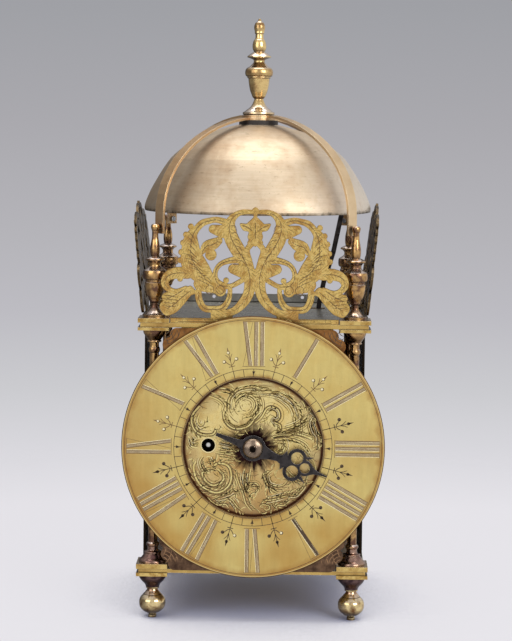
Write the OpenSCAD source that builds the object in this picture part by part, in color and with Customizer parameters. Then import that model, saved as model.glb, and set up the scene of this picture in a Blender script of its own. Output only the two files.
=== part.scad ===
// Lantern clock: a square brass frame on four turned pillars, a bell under two crossed hoops,
// three pierced frets, one hand, a going train with a spring barrel, a short bob pendulum,
// an hourly hammer and two side doors. Up is +Z, the dial faces -Y, and the origin is on the
// floor under the middle of the whole clock. The pieces are drawn round the frame's middle
// and placed together at the end.

/* [Frame] */
// Distance between the axes of two neighbouring pillars
pillar_pitch = 128; // [124:0.5:140]
// How far the square plates reach past the pillar axes
plate_overhang = 8.5; // [8:0.1:12]
// Thickness of the bottom plate
bottom_plate_t = 2.5; // [2:0.1:4]
// Thickness of the top plate
top_plate_t = 2.9; // [2:0.1:4]
// Thickness of the steel plate that closes the back
back_plate_t = 1.5; // [1:0.1:3]
// How far the back plate stands above the top plate
back_plate_rise = 6; // [4:0.1:10]

/* [Turned posts] */
// Height of a foot below its square block
foot_h = 28.5; // [22:0.1:36]
// Largest radius of a foot
foot_r = 8.7; // [6:0.1:10]
// Side of the square blocks on feet, pillars and finials
block_side = 20; // [18:0.1:21]
// Thickness of the block on top of a foot
foot_block_t = 2.2; // [1.5:0.1:4]
// Thickness of the block under a pillar
base_block_t = 3.2; // [2:0.1:5]
// Thickness of the block on top of a pillar
cap_block_t = 2.1; // [1.5:0.1:4]
// Thickness of the block under a finial
finial_block_t = 2.8; // [2:0.1:4]
// Radius of a pillar's plain shaft
shaft_r = 3; // [2.5:0.1:4]
// Largest radius of a pillar's base
base_r = 8.9; // [6:0.1:9.5]
// Height of a pillar's turned base
base_h = 12.8; // [11:0.1:20]
// Largest radius of a pillar's capital
cap_r = 7.2; // [5:0.1:9]
// Height of a pillar's turned capital
cap_h = 15; // [9:0.1:18]
// Radius of the studs that join foot, pillar and finial through the plates
stud_r = 2.2; // [1.5:0.1:2.3]
// How deep a stud enters the next piece
stud_depth = 8; // [4:0.5:10]
// Largest radius of a corner finial
finial_r = 7.7; // [6:0.1:7.8]
// Height of a corner finial above its block
finial_h = 59.8; // [56:0.1:66]
// Largest radius of the top finial
top_finial_r = 10.6; // [8:0.1:13]
// Height of the top finial
top_finial_h = 64.1; // [50:0.1:80]

/* [Bell] */
// Radius of the bell's lip
bell_r = 75.4; // [70:0.1:77]
// Height of the bell
bell_h = 57.2; // [54:0.1:62]
// Height of the bell's lip above the top plate
bell_rise = 68.7; // [67:0.1:72]
// Thickness of the bell
bell_wall = 2.3; // [1.8:0.1:2.6]
// Radius of the bolt through bell and hoops, part of the top finial
bell_bolt_r = 3; // [2:0.1:3.5]
// Radius of the leather washer between bell and hoops
washer_r = 13; // [9:0.1:14]
// Thickness of the leather washer
washer_t = 3; // [2:0.1:5]
// Distance across the flats of the bell nut
bell_nut_side = 11; // [9:0.1:14]
// Thickness of the bell nut
bell_nut_t = 4.5; // [3:0.1:6]

/* [Hoops] */
// Thickness of a hoop
hoop_t = 1.7; // [1.2:0.1:2.5]
// Width of a hoop at its ends
hoop_w = 7.6; // [6:0.1:9]
// Width of a hoop beside its eye
hoop_top_w = 6; // [5:0.1:8]
// Radius of the eye in the middle of a hoop
hoop_eye_r = 11; // [9:0.1:12]
// Height of a hoop's end above the top plate
hoop_end_rise = 56; // [54:0.1:57]
// Height of the hoop screws above the top plate
hoop_screw_rise = 59.3; // [59:0.1:60]
// Radius of a hoop screw's shank
hoop_screw_r = 0.9; // [0.7:0.05:1.2]

/* [Frets] */
// Height of a fret
fret_h = 74.6; // [66:0.1:78]
// Half the width of a fret
fret_half_w = 60.6; // [56:0.1:62]
// Thickness of a fret
fret_t = 1.6; // [1:0.1:2]
// Angle by which the frets lean outward
fret_lean = 6.5; // [5.5:0.1:9]
// How far a fret's foot reaches inward on the top plate
fret_foot_l = 9; // [7:0.1:12]
// Width of a fret's foot
fret_foot_w = 8; // [6:0.1:12]
// Distance between the two feet of a fret
fret_foot_span = 70; // [50:0.5:84]
// Radius of a fret screw's shank
fret_screw_r = 1; // [0.8:0.05:1.5]

/* [Dial] */
// Height of the dial's centre above the bottom plate
dial_rise = 79.9; // [79:0.1:90]
// Height from the dial's centre to the top plate
dial_headroom = 75.4; // [75:0.1:90]
// Outer radius of the chapter ring
ring_outer_r = 83.6; // [80:0.1:86]
// Inner radius of the chapter ring
ring_inner_r = 44.4; // [40:0.1:46]
// Thickness of the chapter ring
ring_t = 2; // [1.2:0.1:3]
// Thickness of the engraved front plate
front_plate_t = 1.8; // [1.2:0.1:2.5]
// Gap between the front plate and the edges of the frame's plates
front_plate_gap = 1.5; // [1.2:0.1:2.5]
// Half the width of the front plate
front_plate_half_w = 58; // [56:0.1:59]
// Radius of the winding hole
winding_hole_r = 4.3; // [3.5:0.1:5]
// Width of the raised rim round the winding hole
winding_rim_w = 0.8; // [0.5:0.1:1.5]
// Radius of the chapter ring's riveted feet
ring_foot_r = 1.8; // [1.2:0.1:2.5]

/* [Hand] */
// Length of the hand from its centre to its tip
hand_l = 50.2; // [46:0.1:56]
// Thickness of the hand
hand_t = 1.2; // [0.8:0.1:2]
// Gap between the chapter ring and the hand
hand_gap = 1.2; // [0.8:0.1:2]
// Angle of the hand, clockwise from twelve
hand_angle = 110.5; // [0:0.5:360]
// Side of the square on the hour arbor
hand_square = 4.2; // [3.6:0.1:4.2]
// Radius of the hand's domed collet
collet_r = 6.4; // [5:0.1:8]
// Height of the domed collet
collet_h = 3.2; // [2.4:0.1:5]
// Radius of the hand's pin
hand_pin_r = 0.6; // [0.4:0.05:0.8]

/* [Movement] */
// Distance from the frame's middle to the front of the front train plate
movement_front = 60; // [58:0.1:61]
// Clear depth between the two train plates
movement_depth = 44; // [43.5:0.1:46]
// Thickness of a train plate
train_plate_t = 2; // [1.5:0.1:2]
// Width of a train plate
train_plate_w = 94; // [92:0.5:104]
// Radius of the pillars between the train plates
train_pillar_r = 3; // [2:0.1:4]
// Radius of the spring barrel
barrel_r = 23.5; // [22:0.1:24.5]
// Wall thickness of the spring barrel
barrel_wall = 1.5; // [1:0.1:2]
// Length of the spring barrel
barrel_l = 27.8; // [25:0.1:28]
// Radius of the barrel arbor
barrel_arbor_r = 3; // [2.4:0.1:3.2]
// Side of the winding square
winding_square = 3; // [2.5:0.1:3.2]
// Thickness of the mainspring
spring_t = 0.8; // [0.4:0.05:1]
// Turns of the mainspring
spring_turns = 6; // [4:1:7]
// Radius of the other arbors
arbor_r = 1; // [0.9:0.05:1.05]
// Radius of the pivots
pivot_r = 0.7; // [0.5:0.05:0.8]

/* [Train] */
// Teeth of the great wheel on the barrel
great_n = 60; // [60:1:60]
// Module of the great wheel
great_m = 0.9; // [0.88:0.01:0.92]
// Leaves of the second pinion
second_pinion_n = 10; // [10:1:10]
// Direction from the barrel to the second arbor
second_dir = 65; // [63:0.5:67]
// Teeth of the second wheel
second_n = 72; // [72:1:72]
// Module of the second wheel
second_m = 0.6; // [0.59:0.01:0.61]
// Teeth of the third wheel
third_n = 75; // [75:1:75]
// Module of the third wheel
third_m = 0.55; // [0.54:0.01:0.56]
// Leaves of the third and of the escape pinion
pinion_n = 6; // [6:1:6]
// Teeth of the escape wheel
escape_n = 36; // [30:2:40]
// Radius of the escape wheel
escape_r = 13; // [12.5:0.1:13.5]
// Teeth of the pinion that drives the hour wheel
motion_pinion_n = 24; // [24:1:24]
// Teeth of the hour wheel
hour_n = 48; // [48:1:48]

/* [Pendulum and strike] */
// Angle that the pendulum swings to each side
swing_angle = 4; // [3:0.5:4]
// Radius of the pendulum rod
pendulum_rod_r = 1.1; // [0.8:0.1:1.5]
// Radius of the bob
bob_r = 8; // [6:0.1:10]
// Height of the bob
bob_h = 20; // [16:0.5:24]
// Radius of the hammer's arm
hammer_arm_r = 1.6; // [1.2:0.1:1.8]
// Radius of the hammer's head
hammer_head_r = 3.6; // [2.5:0.1:4]
// Length of the hammer's head
hammer_head_l = 9; // [5:0.1:10]
// Largest radius of the strike cam
cam_r = 10; // [9:0.1:10]
// Distance from the frame's middle back to the hammer's arm
hammer_y = 35; // [33:0.1:36]
// Radius of the ratchet wheel
ratchet_r = 10.5; // [9.5:0.1:10.5]
// Teeth of the ratchet wheel
ratchet_n = 24; // [18:1:30]

/* [Doors] */
// Thickness of a door
door_t = 1.5; // [1:0.1:2]
// Width of a door
door_w = 102; // [96:0.5:103]
// How far a door's outer face lies inside the plates' edge
door_inset = 1.4; // [1.2:0.1:2.5]
// Radius of a door's pins
door_pin_r = 0.9; // [0.7:0.05:1]
// Radius of a door's knob
knob_r = 3; // [2:0.1:4]
// Length of a door's knob
knob_l = 6; // [4:0.1:8]

/* [Hidden] */
$fn = 48;

brass = "#c2a04c";
pale_brass = "#c9b46a";
bronze = "#8a5a34";
bell_metal = "#b5a284";
steel = "#8d9298";
black_iron = "#26262a";
leather = "#2a2420";

// Fits: a running fit turns freely, a seat is snug, a gap keeps moving pieces apart
running = 0.05;
seat = 0.02;
gap = 0.3;

// Heights of the frame
z_bottom = foot_h + foot_block_t;
z_floor = z_bottom + bottom_plate_t;
plate_gap = dial_rise + dial_headroom;
z_top = z_floor + plate_gap;
z_deck = z_top + top_plate_t;
z_finial = z_deck + finial_block_t;
z_lip = z_deck + bell_rise;
z_bell_top = z_lip + bell_h;
z_hoop = z_bell_top + washer_t;
z_top_finial = z_hoop + 2 * hoop_t;

half_pitch = pillar_pitch / 2;
half_plate = half_pitch + plate_overhang;
corners = [[-1, -1], [1, -1], [-1, 1], [1, 1]];

// Places of the dial's layers, from the front plate forward
y_front_plate = -(half_plate + front_plate_gap + front_plate_t);
y_ring = y_front_plate - ring_t;
y_hand = y_ring - hand_gap - hand_t;
y_collet = y_hand - collet_h;

// Places of the movement, from front to back
y_train_front = -movement_front;
y_train_in = y_train_front + train_plate_t;
y_train_out = y_train_in + movement_depth;
y_train_back = y_train_out + train_plate_t;

// Tooth forms as shares of the module or of half a pitch: addendum, dedendum, width, tip width
wheel_form = [1, 1.3, 0.92, 0.35];
pinion_form = [0.5, 1.3, 0.8, 0.5];

function mesh_distance(m, n1, n2) = m * (n1 + n2) / 2;
function polar(r, a) = r * [cos(a), sin(a)];
function angle_of(v) = atan2(v.y, v.x);

// Centres of the arbors, as [x, z]
dial_c = [0, z_floor + dial_rise];
barrel_c = dial_c + [-28.4, 0.95];
second_c = barrel_c + polar(mesh_distance(great_m, great_n, second_pinion_n), second_dir);
escape_c = dial_c + [5, 43.3];
third_reach = mesh_distance(second_m, second_n, pinion_n);
escape_reach = mesh_distance(third_m, third_n, pinion_n);
third_c = meeting_point(second_c, escape_c, third_reach, escape_reach);
pallet_span = 42.5;
pallet_c = escape_c + [0, escape_r / cos(pallet_span)];
hammer_c = dial_c + [41, 60.8];

// The point below the line a to b that lies ra from a and rb from b
function meeting_point(a, b, ra, rb) =
    let (d = norm(b - a), u = (b - a) / d, s = (ra * ra - rb * rb + d * d) / (2 * d))
    a + s * u + sqrt(ra * ra - s * s) * [u.y, -u.x];

// Rest phase of a wheel that meshes with one of n1 teeth at rest phase 0, seen at angle b
function mesh_phase(b, n1, n2) = b + 180 + 180 / n2 + b * n1 / n2;

// A smooth curve through the points p, with n steps from each point to the next
function near(p, i) = p[min(max(i, 0), len(p) - 1)];
function blend(a, b, c, d, t) =
    0.5 * (2 * b + (c - a) * t + (2 * a - 5 * b + 4 * c - d) * t * t
        + (3 * b - a - 3 * c + d) * t * t * t);
function steps(p, n) = len(p) == 2 ? 1 : n;
function smooth(p, n = 3) = [for (i = [0:len(p) - 2], k = [0:steps(p, n) - 1])
    blend(near(p, i - 1), p[i], p[i + 1], near(p, i + 2), k / steps(p, n))];
function smooth_to_end(p, n = 3) = concat(smooth(p, n), [p[len(p) - 1]]);
function ring_at(p, i) = p[(i + len(p)) % len(p)];
function smooth_loop(p, n = 3) = [for (i = [0:len(p) - 1], k = [0:n - 1])
    blend(ring_at(p, i - 1), p[i], ring_at(p, i + 1), ring_at(p, i + 2), k / n)];

// Points moved sideways from an open curve, by d to the left of its run
function heading(p, i) = let (t = near(p, i + 1) - near(p, i - 1)) [t.x, t.y] / norm([t.x, t.y]);
function beside(p, d) = [for (i = [0:len(p) - 1])
    let (t = heading(p, i)) [p[i].x, p[i].y] + d * [-t.y, t.x]];
function reversed(p) = [for (i = [len(p) - 1:-1:0]) p[i]];

// A turned outline. Its stretches are smooth curves that meet at sharp edges, with radii in
// hundredths of the way from r0 to r1 and heights in hundredths of h.
function turned_outline(form, r0, r1, h) = [for (stretch = form) for (q = smooth(stretch))
    [r0 + (r1 - r0) * q.x / 100, h * q.y / 100]];
module turned(form, r0, r1, h) {
    last = form[len(form) - 1];
    end_r = r0 + (r1 - r0) * last[len(last) - 1].x / 100;
    rotate_extrude()
        polygon(concat([[0, 0]], turned_outline(form, r0, r1, h), [[end_r, h], [0, h]]));
}

foot_form = [
    [[31, 0], [31, 5]], [[31, 5], [24, 8]],
    [[24, 8], [60, 13], [89, 22], [98, 33], [91, 44], [66, 53]],
    [[66, 53], [55, 57], [44, 61], [37, 66]], [[37, 66], [49, 67]], [[49, 67], [49, 70]],
    [[49, 70], [58, 76], [80, 83], [98, 91], [100, 97]], [[100, 97], [100, 100]]];
base_form = [
    [[100, 0], [100, 5]], [[100, 5], [92, 12], [71, 21], [50, 35], [38, 43]],
    [[38, 43], [43, 45], [44, 48], [41, 51], [20, 54]], [[20, 54], [8, 58], [6, 66], [8, 77]],
    [[8, 77], [17, 81], [21, 87], [17, 93], [3, 98], [0, 100]]];
cap_form = [
    [[0, 0], [11, 4], [17, 12], [12, 20], [2, 25]], [[2, 25], [0, 34], [2, 44]],
    [[2, 44], [30, 46], [38, 49], [32, 52], [26, 54]],
    [[26, 54], [38, 59], [69, 71], [95, 85], [100, 94]], [[100, 94], [100, 100]]];
finial_form = [
    [[94, 0], [94, 3]], [[94, 3], [74, 4], [50, 7], [35, 10]], [[35, 10], [29, 12], [29, 15]],
    [[29, 15], [44, 17], [47, 19], [64, 23], [74, 27], [82, 33], [84, 37]],
    [[84, 37], [78, 38]], [[78, 38], [78, 40]], [[78, 40], [94, 41], [100, 44], [99, 48], [94, 50]],
    [[94, 50], [70, 52], [50, 54], [46, 56], [49, 58], [62, 60]], [[62, 60], [80, 61]],
    [[80, 61], [80, 62]], [[80, 62], [74, 63], [40, 65]], [[40, 65], [34, 65]],
    [[34, 65], [40, 69], [40, 75], [34, 80], [27, 85], [26, 92]],
    [[26, 92], [34, 95], [35, 97], [28, 99], [8, 100]]];
top_finial_form = [
    [[92, 0], [100, 1], [100, 3]], [[100, 3], [88, 4], [73, 6], [56, 8], [42, 11], [34, 14]],
    [[34, 14], [29, 16], [29, 17]], [[29, 17], [40, 19], [45, 21], [56, 26], [63, 32], [67, 38]],
    [[67, 38], [75, 39]], [[75, 39], [75, 40]], [[75, 40], [84, 41], [88, 44], [85, 47], [77, 49]],
    [[77, 49], [57, 51], [45, 53]], [[45, 53], [35, 55], [35, 57]],
    [[35, 57], [42, 58], [75, 60]], [[75, 60], [75, 61]], [[75, 61], [60, 63], [34, 66]],
    [[34, 66], [42, 69], [43, 73], [37, 77], [26, 80], [25, 84]], [[25, 84], [30, 85]],
    [[30, 85], [30, 87]], [[30, 87], [34, 90], [33, 93], [25, 96]],
    [[25, 96], [15, 97], [6, 100]]];
bell_form = [[100, 0], [100, 6], [96, 20], [90, 35], [82, 52], [74, 65], [59, 80], [40, 92],
    [18, 100]];

module square_block(h) {
    translate([-block_side / 2, -block_side / 2, 0]) cube([block_side, block_side, h]);
}

module stud_hole(depth) {
    translate([0, 0, -1]) cylinder(h = depth + 1 + seat, r = stud_r + seat);
}

// Turned posts. Each is drawn on its own axis and then placed at a corner.
module at_corner(c, z) {
    translate([c.x * half_pitch, c.y * half_pitch, z]) children();
}

module foot(c) {
    color(bronze) at_corner(c, 0) difference() {
        union() {
            turned(foot_form, 0, foot_r, foot_h);
            translate([0, 0, foot_h]) square_block(foot_block_t);
        }
        translate([0, 0, z_bottom - stud_depth - seat])
            cylinder(h = stud_depth + 1, r = stud_r + seat);
    }
}

module pillar(c) {
    shaft_z = base_block_t + base_h;
    cap_z = plate_gap - cap_block_t - cap_h;
    color(bronze) at_corner(c, z_floor) {
        square_block(base_block_t);
        translate([0, 0, base_block_t]) turned(base_form, shaft_r, base_r, base_h);
        translate([0, 0, shaft_z]) cylinder(h = cap_z - shaft_z, r = shaft_r);
        translate([0, 0, cap_z]) turned(cap_form, shaft_r, cap_r, cap_h);
        translate([0, 0, plate_gap - cap_block_t]) square_block(cap_block_t);
        translate([0, 0, -bottom_plate_t - stud_depth])
            cylinder(h = bottom_plate_t + stud_depth + 1, r = stud_r);
        translate([0, 0, plate_gap - 1])
            cylinder(h = 1 + top_plate_t + stud_depth, r = stud_r);
    }
}

// The hoop screws enter the finials from inside the frame
module toward_middle(c) {
    rotate(atan2(-c.y, -c.x)) children();
}

module corner_finial(c) {
    color(bronze) at_corner(c, z_deck) difference() {
        union() {
            square_block(finial_block_t);
            translate([0, 0, finial_block_t]) turned(finial_form, 0, finial_r, finial_h);
        }
        stud_hole(stud_depth);
        toward_middle(c) translate([0, 0, hoop_screw_rise]) rotate([0, 90, 0])
            cylinder(h = finial_r, r = hoop_screw_r + seat);
    }
}

module top_finial() {
    color(bronze) {
        translate([0, 0, z_top_finial]) turned(top_finial_form, 0, top_finial_r, top_finial_h);
        translate([0, 0, z_bell_top - bell_wall - bell_nut_t - 1.5])
            cylinder(h = z_top_finial - z_bell_top + bell_wall + bell_nut_t + 2.5, r = bell_bolt_r);
    }
}

// Plates of the frame
module plate_holes(h) {
    for (c = corners) at_corner(c, -1) cylinder(h = h + 2, r = stud_r + seat);
    for (s = [-1, 1]) translate([s * hinge_x, hinge_y, -1]) cylinder(h = h + 2, r = door_pin_r + running);
}

module bottom_plate() {
    color(brass) translate([0, 0, z_bottom]) difference() {
        translate([-half_plate, -half_plate, 0])
            cube([2 * half_plate, 2 * half_plate, bottom_plate_t]);
        plate_holes(bottom_plate_t);
    }
}

fret_y = half_plate - fret_t - 0.1;
fret_screw_inset = fret_foot_l - 3;
slot_l = 12;
slot_w = 2 * hammer_arm_r + 3.8;
module top_plate() {
    color(brass) translate([0, 0, z_deck - top_plate_t]) difference() {
        translate([-half_plate, -half_plate, 0])
            cube([2 * half_plate, 2 * half_plate, top_plate_t]);
        plate_holes(top_plate_t);
        translate([hammer_c.x - slot_l / 2 - 0.5, hammer_y - slot_w / 2, -1])
            cube([slot_l, slot_w, top_plate_t + 2]);
        for (side = fret_sides, s = [-1, 1]) rotate(side)
            translate([s * fret_foot_span / 2, -fret_y + fret_screw_inset, -1])
                cylinder(h = top_plate_t + 2, r = fret_screw_r + seat);
    }
}

// Sheet pieces that face the dial. A slab fills from y to y + t, with its drawing's x and y
// as the clock's x and z.
module slab(p, y, t) {
    translate([p.x, y + t, p.y]) rotate([90, 0, 0]) linear_extrude(t) children();
}

module rod(p, y0, y1, r) {
    translate([p.x, y0, p.y]) rotate([-90, 0, 0]) cylinder(h = y1 - y0, r = r);
}

back_hole_span = 62.8;
module back_plate() {
    h = z_deck + back_plate_rise - z_bottom;
    w = 2 * (half_pitch - block_side / 2 - gap);
    color(steel) slab([0, z_bottom], half_plate, back_plate_t) difference() {
        translate([-w / 2, 0]) square([w, h]);
        for (s = [-1, 1]) translate([s * back_hole_span / 2, h - 2.2]) circle(r = 1.2);
    }
}

// Frets. Points are in hundredths of the half width and of the height, and the third number
// is a width in hundredths of the half width.
fret_sides = [0, -90, 90];
fret_ribbons = [
    [[-3, 96, 4], [-12, 96, 5], [-19, 94, 6], [-25, 89, 9], [-27, 81, 13], [-24, 72, 15],
        [-17, 62, 15], [-10, 53, 14], [-6, 44, 13], [-5, 34, 12], [-7, 25, 11], [-13, 17, 10],
        [-21, 11, 8], [-31, 8, 8]],
    [[-31, 87, 7], [-40, 89, 6], [-48, 88, 6], [-55, 86, 7], [-61, 81, 7], [-65, 75, 8]],
    [[-64, 80, 7], [-67, 72, 15], [-67, 62, 20], [-65, 53, 25], [-57, 44, 23], [-49, 37, 16]],
    [[-56, 60, 4], [-51, 66, 10], [-44, 68, 12], [-38, 71, 8]],
    [[-18, 55, 8], [-27, 54, 6], [-36, 51, 5], [-41, 45, 5], [-41, 38, 6], [-36, 33, 8],
        [-26, 32, 5], [-18, 35, 5], [-12, 38, 5]],
    [[-59, 27, 7], [-58, 20, 7], [-53, 13, 7], [-44, 12, 7], [-34, 13, 7], [-28, 19, 6],
        [-26, 26, 5], [-26, 31, 5]],
    [[-70, 43, 12], [-82, 43, 12], [-91, 40, 10], [-94, 34, 8], [-90, 29, 6], [-82, 27, 5],
        [-72, 29, 7]],
    [[-56, 34, 16], [-46, 32, 14], [-36, 30, 12]],
    [[-44, 81, 9], [-34, 79, 14]],
    [[-23, 47, 10], [-12, 45, 15]],
    [[0, 98, 5], [0, 92, 4], [0, 86, 6]]];
fret_leaf = [[-61, 26], [-66, 24], [-71, 19], [-77, 13], [-82, 9], [-87, 7], [-92, 6], [-96, 8],
    [-99, 12], [-99, 16], [-96, 19], [-97, 23], [-93, 26], [-83, 27], [-74, 29], [-67, 32]];
fret_flower = [[0, 90], [-5, 89], [-9, 86], [-12, 86], [-16, 86], [-15, 83], [-12, 80],
    [-7, 79], [-8, 75], [-7, 72], [-8, 69], [0, 66]];
fret_arch = [[0, 70], [-7, 69], [-11, 64], [-10, 56], [0, 56]];
fret_drop = [[0, 66], [-4, 65], [-5.5, 62], [-3, 55], [0, 47]];
fret_buds = [[-44, 81, 9], [-46, 59, 12], [-23, 47, 9], [-30, 37, 6], [-48, 32, 14],
    [-36, 28, 12], [-78, 38, 6], [0, 97, 7], [-67, 83, 6], [-72, 76, 6], [-75, 69, 6],
    [-77, 61, 6], [-78, 54, 6]];

module ribbon(p, unit, rise) {
    q = [for (k = smooth_to_end(p)) [k.x * unit, k.y * rise, k.z * unit]];
    for (i = [0:len(q) - 2]) {
        a = heading(q, i);
        b = heading(q, i + 1);
        la = [q[i].x, q[i].y] + q[i].z / 2 * [-a.y, a.x];
        ra = [q[i].x, q[i].y] - q[i].z / 2 * [-a.y, a.x];
        lb = [q[i + 1].x, q[i + 1].y] + q[i + 1].z / 2 * [-b.y, b.x];
        rb = [q[i + 1].x, q[i + 1].y] - q[i + 1].z / 2 * [-b.y, b.x];
        polygon([la, lb, rb]);
        polygon([la, rb, ra]);
    }
    for (k = [0, len(q) - 1])
        translate([q[k].x, q[k].y]) circle(r = q[k].z / 2, $fn = 14);
}

module fret_half() {
    u = fret_half_w / 100;
    v = fret_h / 100;
    for (p = fret_ribbons) ribbon(p, u, v);
    for (p = [fret_leaf, fret_flower, fret_arch])
        polygon([for (q = smooth_loop(p)) [q.x * u, q.y * v]]);
    for (b = fret_buds) translate([b.x * u, b.y * v]) circle(r = b.z * u / 2, $fn = 14);
    // Foot of the scroll and half of the straight base strip
    translate([-46 * u, 2 * v]) square([23 * u, 8 * v]);
    translate([-fret_strip_half, 0]) square([fret_strip_half + 0.1, 4 * v]);
}

fret_strip_half = half_pitch - block_side / 2 - 0.6;
module fret_outline() {
    offset(delta = 0.02) difference() {
        for (s = [0, 1]) mirror([s, 0]) fret_half();
        for (s = [0, 1]) mirror([s, 0])
            polygon([for (q = smooth_loop(fret_drop)) [q.x * fret_half_w / 100, q.y * fret_h / 100]]);
    }
}

fret_foot_t = 1.5;
module fret(side) {
    lift = fret_t * sin(fret_lean) + 0.1;
    color(brass) rotate(side) translate([0, -fret_y, z_deck]) difference() {
        union() {
            translate([0, 0, lift]) rotate([90 + fret_lean, 0, 0]) linear_extrude(fret_t)
                fret_outline();
            for (s = [-1, 1])
                translate([s * fret_foot_span / 2 - fret_foot_w / 2, -fret_t + 0.2, 0])
                    cube([fret_foot_w, fret_foot_l + fret_t - 0.2, fret_foot_t]);
        }
        for (s = [-1, 1]) translate([s * fret_foot_span / 2, fret_screw_inset, -1])
            cylinder(h = fret_foot_t + 2, r = fret_screw_r + seat);
    }
}

module fret_screws() {
    color(steel) for (side = fret_sides, s = [-1, 1]) rotate(side)
        translate([s * fret_foot_span / 2, -fret_y + fret_screw_inset, 0]) {
            translate([0, 0, z_deck - top_plate_t]) cylinder(h = top_plate_t + fret_foot_t + 0.5, r = fret_screw_r);
            translate([0, 0, z_deck + fret_foot_t]) difference() {
                cylinder(h = 1.3, r = 2);
                translate([-3, -0.3, 0.7]) cube([6, 0.6, 1]);
            }
        }
}

// Bell and hoops
bell_outline = [for (q = smooth_to_end(bell_form)) [q.x * bell_r / 100, q.y * bell_h / 100]];
module bell() {
    color(bell_metal) translate([0, 0, z_lip]) difference() {
        rotate_extrude($fn = 96)
            polygon(concat([[0, bell_h - bell_wall]], reversed(beside(bell_outline, bell_wall)),
                bell_outline, [[0, bell_h]]));
        translate([0, 0, bell_h - 2 * bell_wall]) cylinder(h = 3 * bell_wall, r = bell_bolt_r + seat);
    }
}

module bell_washer() {
    color(leather) translate([0, 0, z_bell_top]) difference() {
        cylinder(h = washer_t, r = washer_r);
        translate([0, 0, -1]) cylinder(h = washer_t + 2, r = bell_bolt_r + seat);
    }
}

module bell_nut() {
    color(steel) translate([0, 0, z_bell_top - bell_wall - bell_nut_t]) difference() {
        translate([-bell_nut_side / 2, -bell_nut_side / 2, 0])
            cube([bell_nut_side, bell_nut_side, bell_nut_t]);
        translate([0, 0, -1]) cylinder(h = bell_nut_t + 2, r = bell_bolt_r + seat);
    }
}

// A hoop runs along x here: flat in the middle, an ellipse down to the lip's height, then
// straight down to its ends on the finials
pear_r = finial_r * 0.4;
hoop_outer_r = pillar_pitch * sqrt(0.5) - pear_r - 0.1;
hoop_flat_angle = acos((washer_r + 1.5) / hoop_outer_r);
function hoop_line(z_mid) =
    let (a = hoop_outer_r - hoop_t / 2, b = (z_mid - z_lip) / sin(hoop_flat_angle))
    concat([[a, z_deck + hoop_end_rise]],
        [for (f = [0:hoop_flat_angle / 14:hoop_flat_angle + 0.1])
            [a * cos(f), z_lip + b * sin(f)]]);
function across(p) = [for (q = reversed(p)) [-q.x, q.y]];
function hoop_plan(reach) =
    let (turn = asin(hoop_top_w / 2 / hoop_eye_r))
    concat([[reach, -hoop_w / 2], [reach, hoop_w / 2]],
        [for (f = [turn:(180 - 2 * turn) / 16:180 - turn + 0.1]) polar(hoop_eye_r, f)],
        [[-reach, hoop_w / 2], [-reach, -hoop_w / 2]],
        [for (f = [180 + turn:(180 - 2 * turn) / 16:360 - turn + 0.1]) polar(hoop_eye_r, f)]);
module hoop(z) {
    half_line = hoop_line(z + hoop_t / 2);
    line = concat(half_line, across(half_line));
    reach = hoop_outer_r + 1;
    difference() {
        intersection() {
            translate([0, hoop_eye_r + 1, 0]) rotate([90, 0, 0])
                linear_extrude(2 * hoop_eye_r + 2)
                    polygon(concat(beside(line, -hoop_t / 2), reversed(beside(line, hoop_t / 2))));
            translate([0, 0, z_deck + 1]) linear_extrude(z_top_finial - z_deck)
                polygon(hoop_plan(reach));
        }
        translate([0, 0, z - 1]) cylinder(h = hoop_t + 2, r = bell_bolt_r + seat);
        translate([-reach, 0, z_deck + hoop_screw_rise]) rotate([0, 90, 0])
            cylinder(h = 2 * reach, r = hoop_screw_r + seat);
    }
}

module bell_hoop_lower() {
    color(bronze) rotate(45) hoop(z_hoop);
}

module bell_hoop_upper() {
    color(bronze) rotate(-45) hoop(z_hoop + hoop_t);
}

module hoop_screws() {
    head_t = 1.2;
    shank_l = hoop_t + pear_r + 0.1;
    color(steel) for (a = [45:90:315]) rotate(a)
        translate([hoop_outer_r - hoop_t, 0, z_deck + hoop_screw_rise]) rotate([0, 90, 0]) {
            translate([0, 0, -head_t]) difference() {
                cylinder(h = head_t, r = 2 * hoop_screw_r);
                translate([-3, -0.25, -1]) cube([6, 0.5, 1.5]);
            }
            translate([0, 0, -0.5]) cylinder(h = shank_l + 0.5, r = hoop_screw_r);
        }
}

// Dial
ring_feet = [for (a = [45:90:315]) polar(66, a)];
plate_lobes = [[49, 4.6, 4.5], [53.4, 10.6, 4.6], [54.4, 18.6, 4.6]];
lug_span = 60;
lug_depth = 5.5;
module front_plate() {
    color(brass) {
        slab([0, z_floor], y_front_plate, front_plate_t) difference() {
            union() {
                translate([-49, 0.1]) square([98, plate_gap - 0.2]);
                translate([-front_plate_half_w, 19]) square([2 * front_plate_half_w, plate_gap - 38]);
                for (lobe = plate_lobes, s = [-1, 1], z = [lobe[1], plate_gap - lobe[1]])
                    translate([s * lobe[0], z]) circle(r = lobe[2]);
            }
            translate([0, dial_rise]) circle(r = hour_arbor_r + running);
            translate([barrel_c.x, barrel_c.y - z_floor]) circle(r = winding_hole_r);
            for (p = ring_feet) translate([p.x, p.y + dial_rise]) circle(r = ring_foot_r + seat);
        }
        slab(barrel_c, y_front_plate - 0.4, 0.5) difference() {
            circle(r = winding_hole_r + winding_rim_w);
            circle(r = winding_hole_r);
        }
        // Lugs that hold the plate against the frame's top and bottom plates
        for (s = [-1, 1], z = [z_floor, z_top - 1.6])
            translate([s * lug_span / 2 - 5, y_front_plate + front_plate_t - 0.5, z])
                cube([10, lug_depth, 1.6]);
    }
}

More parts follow.
